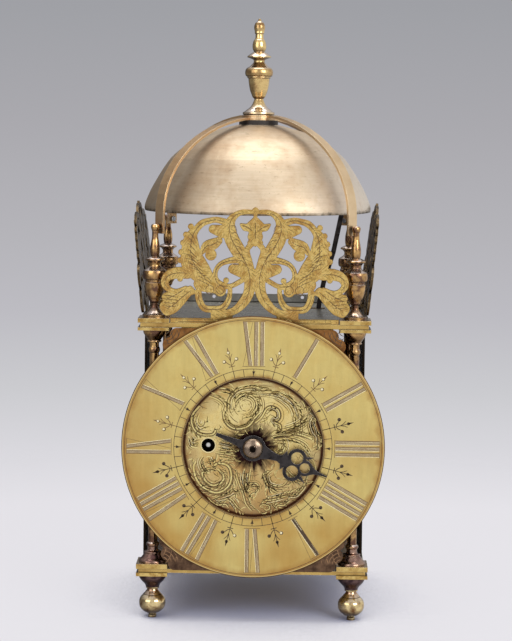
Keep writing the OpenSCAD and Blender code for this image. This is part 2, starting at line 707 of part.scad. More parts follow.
module chapter_ring() {
    bevel = 0.4;
    color(pale_brass) {
        translate([0, y_front_plate, dial_c.y]) rotate([90, 0, 0]) difference() {
            rotate_extrude($fn = 120) polygon([[ring_inner_r, 0], [ring_outer_r, 0],
                [ring_outer_r, ring_t - bevel], [ring_outer_r - bevel, ring_t],
                [ring_inner_r + bevel / 2, ring_t], [ring_inner_r, ring_t - bevel / 2]]);
        }
        for (p = ring_feet)
            rod(dial_c + p, y_front_plate - 0.5, y_front_plate + front_plate_t + 2, ring_foot_r);
    }
}

// Hand, drawn along +x and turned to its hour. Its points are in millimetres on a hand of
// 50.2 mm and grow with its length.
hand_rings = [[28.4, 4.3, 3.9, 6], [28.4, -4.9, 3.9, 6], [35.3, 0, 3.3, 5]];
hand_solid = [[6, 4.6], [9.5, 3.6], [13, 2.6], [17, 2.1], [19.4, 3], [20.8, 6.5], [22.4, 3.6],
    [25, 2.2], [25, -2.2], [22.6, -3.6], [20.6, -6.6], [19.4, -3], [17, -2.1], [13, -2.6],
    [9.5, -3.6], [6, -4.6]];
hand_tip = [[39.4, 3], [41.5, 1.7], [44.5, 0.9], [50.2, 0.45], [50.2, -0.45], [44.5, -0.9],
    [41.5, -1.7], [39.4, -3]];
hand_spurs = [[[35, 5.5], [38.3, 8.4], [33, 7]], [[35, -5.5], [38.3, -9], [33, -7.4]]];
hand_tail = [[-6, 4], [-9.5, 2.1], [-24.9, 1], [-24.9, -1], [-9.5, -2.1], [-6, -4]];
module hand_outline() {
    k = hand_l / 50.2;
    offset(delta = 0.01) difference() {
        union() {
            circle(r = 8.2);
            scale(k) {
                for (p = concat([hand_solid, hand_tip, hand_tail], hand_spurs)) polygon(p);
                for (g = hand_rings) translate([g.x, g.y]) circle(r = g[3]);
            }
        }
        for (g = hand_rings) translate([g.x, g.y] * k) circle(r = g.z * k);
        square(hand_square + 2 * seat, center = true);
    }
}

hand_turn = 90 - hand_angle;
module hour_hand() {
    color(black_iron) slab(dial_c, y_hand, hand_t) rotate(hand_turn) hand_outline();
}

hour_arbor_r = 3;
hour_end_r = 1.8;
hour_end_l = 2.4;
module hour_wheel() {
    m = 2 * norm(dial_c - barrel_c) / (motion_pinion_n + hour_n);
    phase = mesh_phase(angle_of(dial_c - barrel_c), motion_pinion_n, hour_n);
    color(brass) difference() {
        union() {
            slab(dial_c, y_motion + 1, 2) rotate(phase) gear(hour_n, m, wheel_form);
            rod(dial_c, y_front_plate, y_train_front - gap, hour_arbor_r);
            rod(dial_c, y_train_front - 1, y_train_in, pivot_r + 0.6);
            slab(dial_c, y_hand, y_front_plate - y_hand + 0.5) rotate(hand_turn)
                square(hand_square, center = true);
            rod(dial_c, y_collet - hour_end_l, y_hand + 0.5, hour_end_r);
        }
        hand_pin_hole();
    }
}

// The pin goes across the arbor's end, in front of the collet
module across_arbor(r, l) {
    translate([dial_c.x, y_collet - hand_pin_r - seat, dial_c.y]) rotate([0, 35, 0])
        translate([0, 0, -l / 2]) cylinder(h = l, r = r);
}

module hand_pin_hole() {
    across_arbor(hand_pin_r + seat, 12);
}

module hand_collet() {
    dome = [[0, 0], [collet_r, 0], [collet_r, 0.5], [collet_r * 0.97, 1], [collet_r * 0.85, 1.9],
        [collet_r * 0.64, 2.6], [collet_r * 0.45, 3.05], [collet_r * 0.4, 3.2], [0, 3.2]];
    color(bronze) {
        translate([0, y_hand, dial_c.y]) rotate([90, 0, 0]) difference() {
            rotate_extrude() polygon([for (p = dome) [p.x, p.y * collet_h / 3.2]]);
            translate([0, 0, -1]) cylinder(h = collet_h + 2, r = hour_end_r + seat);
        }
        across_arbor(hand_pin_r, 7);
    }
}

// Gears. Each tooth has six points: root, pitch line and tip on both sides.
module gear(n, m, form) {
    pitch = n * m / 2;
    root = pitch - form[1] * m;
    tip = pitch + form[0] * m;
    half = 90 / n * form[2];
    tip_half = half * form[3];
    polygon([for (i = [0:n - 1], e = [[root, -half], [pitch, -half], [tip, -tip_half],
        [tip, tip_half], [pitch, half], [root, half]]) polar(e.x, i * 360 / n + e.y)]);
}

// A wheel's crossings: spokes left between a hub and a rim
module crossed(n, m, form, spokes, hub, rim) {
    inner = n * m / 2 - form[1] * m - rim;
    gear_cut = inner > hub + 2;
    difference() {
        gear(n, m, form);
        if (gear_cut) difference() {
            circle(r = inner);
            circle(r = hub);
            for (i = [0:spokes - 1]) rotate(i * 360 / spokes)
                translate([0, -hub * 0.3]) square([inner + 1, hub * 0.6]);
        }
    }
}

// Movement plates
module train_plate_outline() {
    translate([-train_plate_w / 2, 0]) square([train_plate_w, plate_gap]);
}

train_posts = [for (x = [-1, 1], z = [9, plate_gap - 6.5]) [x * (train_plate_w / 2 - 6), z_floor + z]];
module holes(list) {
    for (h = list) translate([h.x, h.y - z_floor]) circle(r = h.z);
}

module train_plate_front() {
    color(brass) slab([0, z_floor], y_train_front, train_plate_t) difference() {
        train_plate_outline();
        holes([[barrel_c.x, barrel_c.y, pipe_r + running],
            [second_c.x, second_c.y, pivot_r + running], [third_c.x, third_c.y, pivot_r + running],
            [escape_c.x, escape_c.y, pivot_r + running], [pallet_c.x, pallet_c.y, pivot_r + running],
            [dial_c.x, dial_c.y, pivot_r + 0.6 + running]]);
    }
}

module train_plate_back() {
    color(brass) slab([0, z_floor], y_train_out, train_plate_t) difference() {
        train_plate_outline();
        holes([[barrel_c.x, barrel_c.y, back_pivot_r + running],
            [second_c.x, second_c.y, arbor_r + running], [third_c.x, third_c.y, pivot_r + running],
            [escape_c.x, escape_c.y, pivot_r + running], [pallet_c.x, pallet_c.y, 3.2],
            [hammer_c.x, hammer_c.y, pivot_r + running],
            [click_c.x, click_c.y, click_screw_r + seat]]);
    }
}

module train_pillars() {
    color(brass) for (p = train_posts) {
        rod(p, y_train_in, y_train_out, train_pillar_r);
        for (y = [y_train_in, y_train_out - 3]) rod(p, y, y + 3, train_pillar_r + 1);
    }
}

// Barrel: a drum with the great wheel on its back, a cap with a pipe, and the motion pinion
pipe_r = 4.5;
back_pivot_r = 2.4;
y_barrel = y_train_in + 0.8;
y_barrel_end = y_barrel + barrel_l;
great_t = 2.4;
y_great = y_barrel_end - great_t;
y_motion = y_train_front - 6.5;
cap_t = 1.6;
module spring_barrel() {
    color(brass) difference() {
        union() {
            rod(barrel_c, y_barrel, y_barrel_end, barrel_r);
            slab(barrel_c, y_great, great_t) gear(great_n, great_m, wheel_form);
        }
        rod(barrel_c, y_barrel - 1, y_barrel_end - 1.8, barrel_r - barrel_wall);
        rod(barrel_c, y_barrel, y_barrel_end + 1, barrel_arbor_r + running);
    }
}

module barrel_cap() {
    color(brass) difference() {
        union() {
            rod(barrel_c, y_barrel, y_barrel + cap_t, barrel_r - barrel_wall - seat);
            rod(barrel_c, y_motion, y_barrel + cap_t, pipe_r);
        }
        rod(barrel_c, y_motion - 1, y_barrel + cap_t + 1, barrel_arbor_r + running);
    }
}

module motion_pinion() {
    m = 2 * norm(dial_c - barrel_c) / (motion_pinion_n + hour_n);
    color(brass) slab(barrel_c, y_motion, 4) difference() {
        gear(motion_pinion_n, m, wheel_form);
        circle(r = pipe_r + seat);
    }
}

hub_r = 6;
module mainspring() {
    r_in = hub_r + 1.2;
    r_out = barrel_r - barrel_wall - spring_t / 2 - 0.1;
    line = [for (i = [0:spring_turns * 20])
        polar(r_in + (r_out - r_in) * i / (spring_turns * 20), i * 18)];
    color(steel) slab(barrel_c, y_barrel + cap_t + 1, barrel_l - cap_t - 5)
        polygon(concat(beside(line, spring_t / 2), reversed(beside(line, -spring_t / 2))));
}

y_arbor_front = y_front_plate + 1.2;
module barrel_arbor() {
    color(steel) {
        slab(barrel_c, y_arbor_front, y_motion - y_arbor_front) square(winding_square, center = true);
        rod(barrel_c, y_motion - 1.5, y_barrel_end + gap, barrel_arbor_r);
        rod(barrel_c, y_barrel + cap_t + gap, y_barrel_end - 1.8 - gap, hub_r);
        rod(barrel_c, y_barrel_end, y_ratchet + ratchet_t + 1, back_pivot_r);
    }
}

// Ratchet and click, behind the back train plate
y_ratchet = y_train_back + gap;
ratchet_t = 2.2;
module ratchet_wheel() {
    root = ratchet_r - 1.7;
    color(steel) slab(barrel_c, y_ratchet, ratchet_t) difference() {
        polygon([for (i = [0:ratchet_n - 1], e = [[ratchet_r, 0], [root, 1.5]])
            polar(e.x, (i * 360 + e.y) / ratchet_n + (e.y > 0 ? 1 : 0))]);
        circle(r = back_pivot_r + seat);
    }
}

click_c = barrel_c + [15.5, 9];
click_screw_r = 1.5;
click_line = [[0, 0, 5], [-4, 3.2, 3.6], [-9, 4.2, 3], [-12.2, 2.6, 2]];
module click() {
    color(steel) slab(click_c, y_ratchet, ratchet_t) difference() {
        offset(delta = 0.01) union() {
            circle(r = 3.4);
            ribbon(click_line, 1, 1);
        }
        circle(r = click_screw_r + running);
    }
}

module click_screw() {
    color(steel) {
        rod(click_c, y_train_out, y_ratchet + ratchet_t + gap, click_screw_r);
        difference() {
            rod(click_c, y_ratchet + ratchet_t + gap, y_ratchet + ratchet_t + gap + 1.4, 2.8);
            translate([click_c.x - 0.3, y_ratchet + ratchet_t + gap + 0.7, click_c.y - 4])
                cube([0.6, 2, 8]);
        }
    }
}

click_spring_line = [[13, -2, 5], [11, 3, 1.6], [7, 6, 1], [1.6, 7, 0.9], [-3, 6.9, 0.9]];
module click_spring() {
    color(steel) slab(click_c, y_train_back, ratchet_t) offset(delta = 0.01) union() {
        translate([13, -3]) circle(r = 3.4);
        ribbon(click_spring_line, 1, 1);
    }
}

// Second arbor, with its pinion, wheel and the cam that lifts the hammer once an hour
module arbor(p, y_from, y_to) {
    rod(p, y_train_front, y_train_in + 1, pivot_r);
    rod(p, y_from, y_to, arbor_r);
}

y_second_wheel = y_great + 6.5;
y_cam = y_train_back + 3.5;
cam_t = 2.5;
module second_arbor() {
    phase = mesh_phase(second_dir, great_n, second_pinion_n);
    color(steel) {
        arbor(second_c, y_train_in + gap, y_cam + cam_t + 1);
        slab(second_c, y_great - 3, great_t + 5) rotate(phase)
            gear(second_pinion_n, great_m, pinion_form);
    }
}

module second_wheel() {
    color(brass) slab(second_c, y_second_wheel, 1.5) difference() {
        crossed(second_n, second_m, wheel_form, 4, 4, 2.4);
        circle(r = arbor_r + seat);
    }
}

module strike_cam() {
    color(brass) slab(second_c, y_cam, cam_t) difference() {
        union() {
            circle(r = 4);
            polygon([[-3.4, -2], [3.4, -2], [2.4, cam_r * 0.75], [0.4, cam_r], [-0.8, cam_r * 0.9]]);
        }
        circle(r = arbor_r + seat);
    }
}

y_third_wheel = y_second_wheel + 5;
module third_arbor() {
    phase = mesh_phase(angle_of(third_c - second_c), second_n, pinion_n);
    color(steel) {
        arbor(third_c, y_train_in + gap, y_train_out - gap);
        rod(third_c, y_train_out - 1, y_train_back, pivot_r);
        slab(third_c, y_second_wheel - 2.5, 6.5) rotate(phase) gear(pinion_n, second_m, pinion_form);
    }
}

module third_wheel() {
    color(brass) slab(third_c, y_third_wheel, 1.5) difference() {
        crossed(third_n, third_m, wheel_form, 4, 4, 2.4);
        circle(r = arbor_r + seat);
    }
}

module escape_arbor() {
    phase = mesh_phase(angle_of(escape_c - third_c), third_n, pinion_n);
    color(steel) {
        arbor(escape_c, y_train_in + gap, y_train_out - gap);
        rod(escape_c, y_train_out - 1, y_train_back, pivot_r);
        slab(escape_c, y_third_wheel - 2, 5) rotate(phase) gear(pinion_n, third_m, pinion_form);
    }
}

y_escape = y_train_in + 14;
module escape_wheel() {
    root = escape_r - 2.2;
    color(brass) slab(escape_c, y_escape, 1.5) difference() {
        polygon([for (i = [0:escape_n - 1], e = [[root, 0], [escape_r, 0], [root, 3.2]])
            polar(e.x, i * 360 / escape_n + e.y)]);
        difference() {
            circle(r = root - 1.6);
            circle(r = 3.4);
            for (i = [0:3]) rotate(i * 90) translate([0, -1]) square([escape_r, 2]);
        }
        circle(r = arbor_r + seat);
    }
}

// Pallets on the pendulum's arbor, held just clear of the escape wheel at every swing
swing_s = 3600 / (2 * escape_n * (second_n / pinion_n) * (third_n / pinion_n));
pendulum_l = 9810 * pow(swing_s / PI, 2);
nib_r = escape_r + 1.1;
nib = escape_c - pallet_c + nib_r * [sin(pallet_span), cos(pallet_span)];
pallet_line = [[0, 0.6, 5], [nib.x * 0.5, 0.8, 3.6], [nib.x * 0.95, nib.y * 0.28, 2.8],
    [nib.x + 0.9, nib.y * 0.66, 2.2], [nib.x + 0.6, nib.y + 0.9, 1.4]];
module pallets() {
    color(steel) {
        rod(pallet_c, y_train_front, y_train_in + 1, pivot_r);
        rod(pallet_c, y_train_in + gap, y_cock - gap, arbor_r);
        rod(pallet_c, y_cock - 1, y_cock + cock_t, pivot_r);
        slab(pallet_c, y_escape - 1.2, 4) offset(delta = 0.01) union() {
            ribbon(pallet_line, 1, 1);
            mirror([1, 0]) ribbon(pallet_line, 1, 1);
        }
    }
}

y_rod = 0;
module pendulum_rod() {
    color(steel) difference() {
        union() {
            rod(pallet_c, y_rod - 3, y_rod + 3, 3.6);
            translate([pallet_c.x, y_rod, pallet_c.y - pendulum_l - bob_h / 2 - 2.5])
                cylinder(h = pendulum_l + bob_h / 2, r = pendulum_rod_r);
        }
        rod(pallet_c, y_rod - 4, y_rod + 4, arbor_r + seat);
    }
}

module pendulum_bob() {
    form = [[[22, 0], [60, 6], [92, 22], [100, 38], [90, 56], [58, 76], [34, 92], [28, 100]]];
    color(brass) translate([pallet_c.x, y_rod, pallet_c.y - pendulum_l - bob_h / 2]) difference() {
        turned(form, 0, bob_r, bob_h);
        translate([0, 0, -1]) cylinder(h = bob_h + 2, r = pendulum_rod_r + seat);
    }
}

// Cock: a bracket behind the back train plate that carries the pallet arbor's back pivot
y_cock = 8;
cock_t = 2.5;
module pallet_cock() {
    z = pallet_c.y + 6;
    color(brass) {
        translate([pallet_c.x - 14, y_train_back, z]) cube([28, 2.5, 7]);
        translate([pallet_c.x - 6, y_train_back, z]) cube([12, y_cock - y_train_back + cock_t, 2.6]);
        slab([pallet_c.x, 0], y_cock, cock_t) difference() {
            translate([-6, pallet_c.y - 5]) square([12, 11 + 2.6]);
            translate([0, pallet_c.y]) circle(r = pivot_r + running);
        }
    }
}

// Hammer. Its arbor runs from the back train plate to a bracket under the top plate, and its
// arm rises through the slot in the top plate into the bell.
head_z = z_lip + 5.1;
// Bends of the arm, each as its way out and its share of the rise from the deck to the head
arm_bends = [[1.7, 0.054], [4.6, 0.244], [11, 0.528], [16.4, 0.894]];
hammer_rise = concat([[0, 0]],
    [for (b = arm_bends) [b[0], z_deck + b[1] * (head_z - z_deck) - hammer_c.y]]);
bell_wall_at_head = bell_r * 0.985 - bell_wall;
head_reach = bell_wall_at_head - hammer_head_l / 2 - 2;
head_angle = asin(hammer_y / head_reach);
head_p = [head_reach * cos(head_angle), head_z];
tail_r = 1.3;
tail_t = 1.8;
tail_end = second_c + polar(cam_r + 0.5 + tail_r, -60);
module hammer_arm() {
    path = concat([for (p = hammer_rise) hammer_c + p], [head_p]);
    color(black_iron) {
        rod(hammer_c, y_train_out, y_train_back + 1, pivot_r);
        rod(hammer_c, y_train_back + gap, y_hammer_cock - gap, 2.2);
        rod(hammer_c, y_hammer_cock - 1, y_hammer_cock + cock_t, pivot_r);
        rod(hammer_c, hammer_y - 3, hammer_y + 3, 3.6);
        slab([0, 0], y_cam + (cam_t - tail_t) / 2, tail_t) offset(delta = 0.01) union() {
            translate(hammer_c) circle(r = 3.4);
            bar(hammer_c, tail_end, tail_r);
        }
        difference() {
            slab([0, 0], hammer_y - hammer_arm_r, 2 * hammer_arm_r) offset(delta = 0.01)
                for (i = [0:len(path) - 2]) bar(path[i], path[i + 1], hammer_arm_r);
            hammer_head_shape(seat);
        }
    }
}

// A flat bar with round ends between two points
module bar(a, b, r) {
    v = b - a;
    translate(a) rotate(angle_of(v)) translate([0, -r]) square([norm(v), 2 * r]);
    for (p = [a, b]) translate(p) circle(r = r);
}

module hammer_head_shape(extra) {
    l = hammer_head_l + 2 * extra;
    r = hammer_head_r + extra;
    translate([head_p.x, hammer_y, head_p.y]) rotate(head_angle) rotate([0, 90, 0])
        translate([0, 0, -l / 2]) rotate_extrude()
            polygon([[0, 0], [r - 1, 0], [r - 0.3, 0.3], [r, 1], [r, l - 1], [r - 0.3, l - 0.3],
                [r - 1, l], [0, l]]);
}

module hammer_head() {
    color(black_iron) hammer_head_shape(0);
}

y_hammer_cock = hammer_y + 7;
module hammer_cock() {
    h = z_top - hammer_c.y + 6;
    color(brass) {
        slab([hammer_c.x, 0], y_hammer_cock, cock_t) difference() {
            translate([-7, hammer_c.y - 6]) square([14, h]);
            translate([0, hammer_c.y]) circle(r = pivot_r + running);
        }
        translate([hammer_c.x - 7, y_hammer_cock, z_top - 2.2]) cube([14, 12, 2.2]);
    }
}

module hammer_stop() {
    lean = hammer_rise[1];
    x_at_top = hammer_c.x + lean.x * (z_top - hammer_c.y) / lean.y;
    x = x_at_top + hammer_arm_r + gap;
    color(steel) translate([x, hammer_y - 3, z_top - 8]) cube([10, 6, 8]);
}

// Doors, hung on pins at their back edge
hinge_x = half_plate - door_inset - door_t / 2;
hinge_y = door_w / 2;
module door(s) {
    h = plate_gap - 2 * gap;
    knob = [[[60, 0], [42, 12], [38, 36]], [[38, 36], [80, 48], [100, 68], [84, 90], [30, 100]]];
    color(brass) {
        translate([s * hinge_x - door_t / 2, -door_w / 2, z_floor + gap]) cube([door_t, door_w, h]);
        translate([s * hinge_x, hinge_y, z_floor + gap]) cylinder(h = h, r = door_t / 2);
        translate([s * hinge_x, hinge_y, z_bottom + gap])
            cylinder(h = plate_gap + bottom_plate_t + top_plate_t - 2 * gap, r = door_pin_r);
        translate([s * (hinge_x + door_t / 2 - 0.2), -door_w / 2 + 8, z_floor + plate_gap / 2])
            rotate([0, s * 90, 0]) turned(knob, 0, knob_r, knob_l);
    }
}

module door_left() {
    door(-1);
}

module door_right() {
    door(1);
}

// The overall depth runs from the end of the hour arbor to the blocks at the back
module placed() {
    y_first = y_collet - hour_end_l;
    y_last = half_pitch + block_side / 2;
    translate([0, -(y_first + y_last) / 2, 0]) children();
}

placed() foot(corners[0]);  // foot_front_left
placed() foot(corners[1]);  // foot_front_right
placed() foot(corners[2]);  // foot_back_left
placed() foot(corners[3]);  // foot_back_right
placed() bottom_plate();
placed() pillar(corners[0]);  // pillar_front_left
placed() pillar(corners[1]);  // pillar_front_right
placed() pillar(corners[2]);  // pillar_back_left
placed() pillar(corners[3]);  // pillar_back_right
placed() top_plate();
placed() corner_finial(corners[0]);  // finial_front_left
placed() corner_finial(corners[1]);  // finial_front_right
placed() corner_finial(corners[2]);  // finial_back_left
placed() corner_finial(corners[3]);  // finial_back_right
placed() bell_hoop_lower();
placed() bell_hoop_upper();
placed() hoop_screws();
placed() bell();
placed() bell_washer();
placed() bell_nut();
placed() top_finial();
placed() fret(fret_sides[0]);  // fret_front
placed() fret(fret_sides[1]);  // fret_left
placed() fret(fret_sides[2]);  // fret_right
placed() fret_screws();
placed() front_plate();
placed() chapter_ring();
placed() back_plate();
placed() train_plate_front();
placed() train_plate_back();
placed() train_pillars();
placed() pallet_cock();
placed() hammer_cock();
placed() hammer_stop();
placed() click_spring();
placed() click_screw();
placed() spring_barrel();
placed() barrel_cap();
placed() motion_pinion();
placed() mainspring();
placed() barrel_arbor();
placed() ratchet_wheel();
placed() click();
placed() second_arbor();
placed() second_wheel();
placed() strike_cam();
placed() third_arbor();
placed() third_wheel();
placed() escape_arbor();
placed() escape_wheel();
placed() pallets();
placed() pendulum_rod();
placed() pendulum_bob();
placed() hammer_arm();
placed() hammer_head();
placed() hour_hand();
placed() hour_wheel();
placed() hand_collet();
placed() door_left();
placed() door_right();
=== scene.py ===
# Lantern clock: brass frame, bell under crossed hoops, pierced frets, engraved dial, one hand.
import math
import random

import bpy
from mathutils import Matrix, Vector, noise
from mathutils.bvhtree import BVHTree


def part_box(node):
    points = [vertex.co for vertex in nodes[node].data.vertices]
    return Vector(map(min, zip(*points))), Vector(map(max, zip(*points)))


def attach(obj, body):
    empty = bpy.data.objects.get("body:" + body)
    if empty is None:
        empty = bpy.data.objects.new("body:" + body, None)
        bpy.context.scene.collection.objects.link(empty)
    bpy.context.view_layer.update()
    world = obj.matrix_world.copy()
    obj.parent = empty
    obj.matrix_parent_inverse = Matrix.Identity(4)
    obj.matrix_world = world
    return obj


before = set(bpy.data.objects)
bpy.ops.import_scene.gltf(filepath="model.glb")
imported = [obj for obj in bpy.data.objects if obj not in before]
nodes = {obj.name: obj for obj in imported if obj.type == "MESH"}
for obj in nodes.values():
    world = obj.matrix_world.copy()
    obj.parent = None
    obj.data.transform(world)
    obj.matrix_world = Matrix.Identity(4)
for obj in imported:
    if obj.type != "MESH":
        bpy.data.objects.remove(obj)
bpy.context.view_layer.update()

MM = 0.001


# Colours and shader nodes
def colour(code):
    """An sRGB hex value as the linear colour that Blender works in."""
    def linear(byte):
        share = byte / 255
        return share / 12.92 if share <= 0.04045 else ((share + 0.055) / 1.055) ** 2.4
    value = int(code[1:], 16)
    return (linear(value >> 16), linear(value >> 8 & 255), linear(value & 255), 1.0)


def add(tree, kind, settings=None, inputs=None):
    """A shader node with its settings, and its sockets either linked or given a value."""
    made = tree.nodes.new("ShaderNode" + kind)
    for key, value in (settings or {}).items():
        setattr(made, key, value)
    for key, value in (inputs or {}).items():
        if isinstance(value, bpy.types.NodeSocket):
            tree.links.new(value, made.inputs[key])
        else:
            made.inputs[key].default_value = value
    return made


def tree_of(*values):
    """The node tree of the first socket among the values."""
    return next(value.id_data for value in values if isinstance(value, bpy.types.NodeSocket))


def maths(kind, *values):
    """One sum on numbers or sockets."""
    return add(tree_of(*values), "Math", {"operation": kind}, dict(enumerate(values))).outputs[0]


def vectors(kind, *values):
    """The same on vectors. It gives both outputs: the vector, then the number."""
    return add(tree_of(*values), "VectorMath", {"operation": kind}, dict(enumerate(values))).outputs


def scaled(value, low, high, top=1.0, bottom=0.0):
    """Goes from bottom, where value is low, to top, where it is high, and stays level beyond both."""
    return add(tree_of(value), "MapRange", inputs={
        "Value": value, "From Min": low, "From Max": high, "To Min": bottom, "To Max": top}).outputs[0]


def between(value, low, high, soft=0.1 * MM):
    """One where value lies between low and high, nought outside, with soft edges."""
    rise = scaled(value, low - soft, low + soft)
    fall = scaled(value, high + soft, high - soft)
    return maths("MULTIPLY", rise, fall)


def axis(vector, letter):
    """The X, Y or Z part of a vector."""
    return add(tree_of(vector), "SeparateXYZ", inputs={"Vector": vector}).outputs[letter]


def facing(tree, letter):
    """How far the surface looks along an axis: 1 towards its plus end, -1 towards the other."""
    return axis(add(tree, "NewGeometry").outputs["Normal"], letter)


def ramp(value, stops):
    """A colour ramp between (place, grey or hex) stops."""
    made = add(tree_of(value), "ValToRGB", inputs={"Fac": value})
    points = made.color_ramp.elements
    while len(points) < len(stops):
        points.new(0.5)
    for point, (place, shade) in zip(points, stops):
        point.position = place
        point.color = colour(shade) if isinstance(shade, str) else (shade, shade, shade, 1)
    return made.outputs["Color"]


def mix(share, first, second, kind="MIX"):
    """Blends two colours, each a socket or a hex value."""
    first, second = (colour(tint) if isinstance(tint, str) else tint for tint in (first, second))
    return add(tree_of(share, first, second), "Mix", {"data_type": "RGBA", "blend_type": kind},
               {0: share, 6: first, 7: second}).outputs[2]


def blank(name):
    """A new material with only its output."""
    made = bpy.data.materials.new(name)
    made.use_nodes = True
    made.node_tree.nodes.clear()
    return made, made.node_tree, add(made.node_tree, "OutputMaterial")


def spread(place, size_mm, detail, stretch=(1, 1, 1)):
    """Noise whose blotches are about size_mm wide, longer along the axes of small stretch."""
    scale = [share / (size_mm * MM) for share in stretch]
    across = add(tree_of(place), "Mapping", inputs={"Vector": place, "Scale": scale}).outputs["Vector"]
    return add(tree_of(place), "TexNoise", inputs={
        "Vector": across, "Scale": 1.0, "Detail": detail, "Roughness": 0.6}).outputs["Fac"]


def blotches(place, size_mm, detail, low, high, top=1.0, stretch=(1, 1, 1)):
    """A mask of patches about size_mm wide: the nearer low and high are, the harder their edges."""
    return ramp(spread(place, size_mm, detail, stretch), [(low, 0.0), (high, top)])


def distance_from(place, centre):
    """How far each point lies from an axis along y through centre, in millimetres."""
    flat = vectors("MULTIPLY", vectors("SUBTRACT", place, centre)[0], (1 / MM, 0, 1 / MM))[0]
    return vectors("LENGTH", flat)["Value"]


def painted_top_light(tint, pale="#E4D8D0", shade="#3A2A2A"):
    """Painted light and shade: metal painted pale on faces that look up and dark on those that look down."""
    up = facing(tree_of(tint), "Z")
    tint = mix(ramp(up, [(0.45, 0.0), (0.85, 0.8)]), tint, pale)
    down = maths("MULTIPLY", up, -1.0)
    return mix(ramp(down, [(0.2, 0.0), (0.7, 0.75)]), tint, shade)


def metal(name, bright, tarnish, rough, blotch_mm, grain_mm, grain_stretch, grain_depth=0.04,
          hollow="#2A1A10", hollow_mm=3.0, hollow_share=0.85, edge_mm=0.25, tarnish_from=0.45,
          tarnish_to=0.7, spot="#4A3320", spot_share=0.5, rim=None, rim_mm=1.2, extra=None, skin=None):
    """Old worked metal: tarnish in blotches, tool marks along one way, painted shade in the hollows,
    small dark spots, and edges rubbed round by handling. rim is a colour painted along the edges:
    a painted highlight on most pieces, painted shade on the front fret. extra adds the marks and the
    painted light of one piece, and skin says how metallic the surface is."""
    made, tree, out = blank(name)
    place = add(tree, "TexCoord").outputs["Object"]
    patches = spread(place, blotch_mm, 6)
    fine = spread(place, grain_mm, 3, grain_stretch)
    specks = spread(place, 1.6, 2)
    tint = mix(ramp(patches, [(tarnish_from, 0.0), (tarnish_to, 1.0)]), bright, tarnish)
    shade = ramp(fine, [(0.3, 0.8), (0.7, 1.0)])
    tint = mix(0.55, tint, shade, "MULTIPLY")
    tint = mix(ramp(specks, [(0.68, 0.0), (0.76, spot_share)]), tint, spot)
    if extra:
        tint = extra(place, tint)
    # Painted light along the edges in the rim colour: a painted highlight, and on the front fret painted
    # shade
    if rim:
        turned_in = add(tree, "Bevel", {"samples": 6}, {"Radius": rim_mm * MM}).outputs["Normal"]
        surface = add(tree, "NewGeometry").outputs["Normal"]
        flat = vectors("DOT_PRODUCT", turned_in, surface)["Value"]
        by_edge = ramp(flat, [(0.8, 0.9), (0.995, 0.0)])
        tint = mix(by_edge, tint, rim)
    # Painted shade: the colour darkens in hollows, where little light reaches
    near = add(tree, "AmbientOcclusion", {"samples": 8}, {"Distance": hollow_mm * MM}).outputs["AO"]
    hollow_shade = ramp(near, [(0.25, hollow_share), (0.8, 0.0)])
    tint = mix(hollow_shade, tint, hollow)
    gloss = scaled(patches, 0.3, 0.7, rough[1], rough[0])
    rounded = add(tree, "Bevel", {"samples": 4}, {"Radius": edge_mm * MM}).outputs["Normal"]
    marks = add(tree, "Bump", inputs={"Strength": 0.35, "Distance": grain_depth * MM, "Height": fine,
                                      "Normal": rounded}).outputs["Normal"]
    pits = add(tree, "Bump", inputs={"Strength": 0.3, "Distance": 0.06 * MM, "Height": specks,
                                     "Normal": marks}).outputs["Normal"]
    body = add(tree, "BsdfPrincipled", inputs={"Base Color": tint, "Metallic": skin(tree) if skin else 1.0,
                                               "Roughness": gloss, "Normal": pits})
    tree.links.new(body.outputs["BSDF"], out.inputs["Surface"])
    return made


# Places that the drawing uses
ring_low, ring_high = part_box("chapter_ring")
dial = Vector((0, 0, (ring_low.z + ring_high.z) / 2))
ring_front = ring_low.y
RING_THICK_MM = 2.0
plate_front = ring_front + RING_THICK_MM * MM
KEY_HOLE_MM = Vector((-28.4, 0.95))
key_hole = dial + Vector((KEY_HOLE_MM.x, 0, KEY_HOLE_MM.y)) * MM
key_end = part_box("barrel_arbor")[0].y
floor_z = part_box("bottom_plate")[1].z
top_plate_low, top_plate_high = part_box("top_plate")
ceiling_z, deck = top_plate_low.z, top_plate_high.z
FOOT_BLOCK_MM = 2.2
foot_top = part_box("foot_front_left")[1].z - FOOT_BLOCK_MM * MM
crown_low, crown_high = (corner.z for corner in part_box("top_finial"))
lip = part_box("bell")[0].z


# Materials. Distances from the dial's centre and from the key hole are in millimetres.

# Chapter ring: rolled yellow brass, hand-brushed and waxed. It shows fine scratches that run
# all ways, soft brown patches, a darker rub along both edges, painted shade that browns its left side,
# and a painted highlight on its rim with painted shade on the turned-down edge.
def ring_wear_and_light(place, tint):
    out = distance_from(place, dial)
    ragged = maths("MULTIPLY_ADD", spread(place, 7, 4), 7.0, out)
    low = scaled(axis(place, "Z"), dial.z + 30 * MM, dial.z - 30 * MM, 0.6)
    # Painted shade: the left side is browned
    left = scaled(axis(place, "X"), -50 * MM, -82 * MM, 0.45)
    browned = maths("MULTIPLY", blotches(place, 50, 2, 0.42, 0.62), low)
    tint = mix(browned, tint, "#B9883F")
    tint = mix(left, tint, "#B4864A")
    tint = mix(scaled(ragged, 81.5, 87.5), tint, "#A8773C")
    tint = mix(scaled(ragged, 50.5, 47.5), tint, "#A87F46")
    # A painted highlight runs round the rim, and its turned-down edge is painted brown as painted shade
    tint = mix(between(out, 82.6, 83.0, 0.1), tint, "#DEC98C")
    return mix(between(out, 83.1, 90, 0.1), tint, "#6E4E2A")


ring_brass = metal("waxed_yellow_brass", "#E0C980", "#CEB068", (0.3, 0.42), 18, 3.2, (1, 1, 0.16),
                   0.02, hollow_share=0.4, tarnish_to=0.8, spot_share=0.25, extra=ring_wear_and_light)
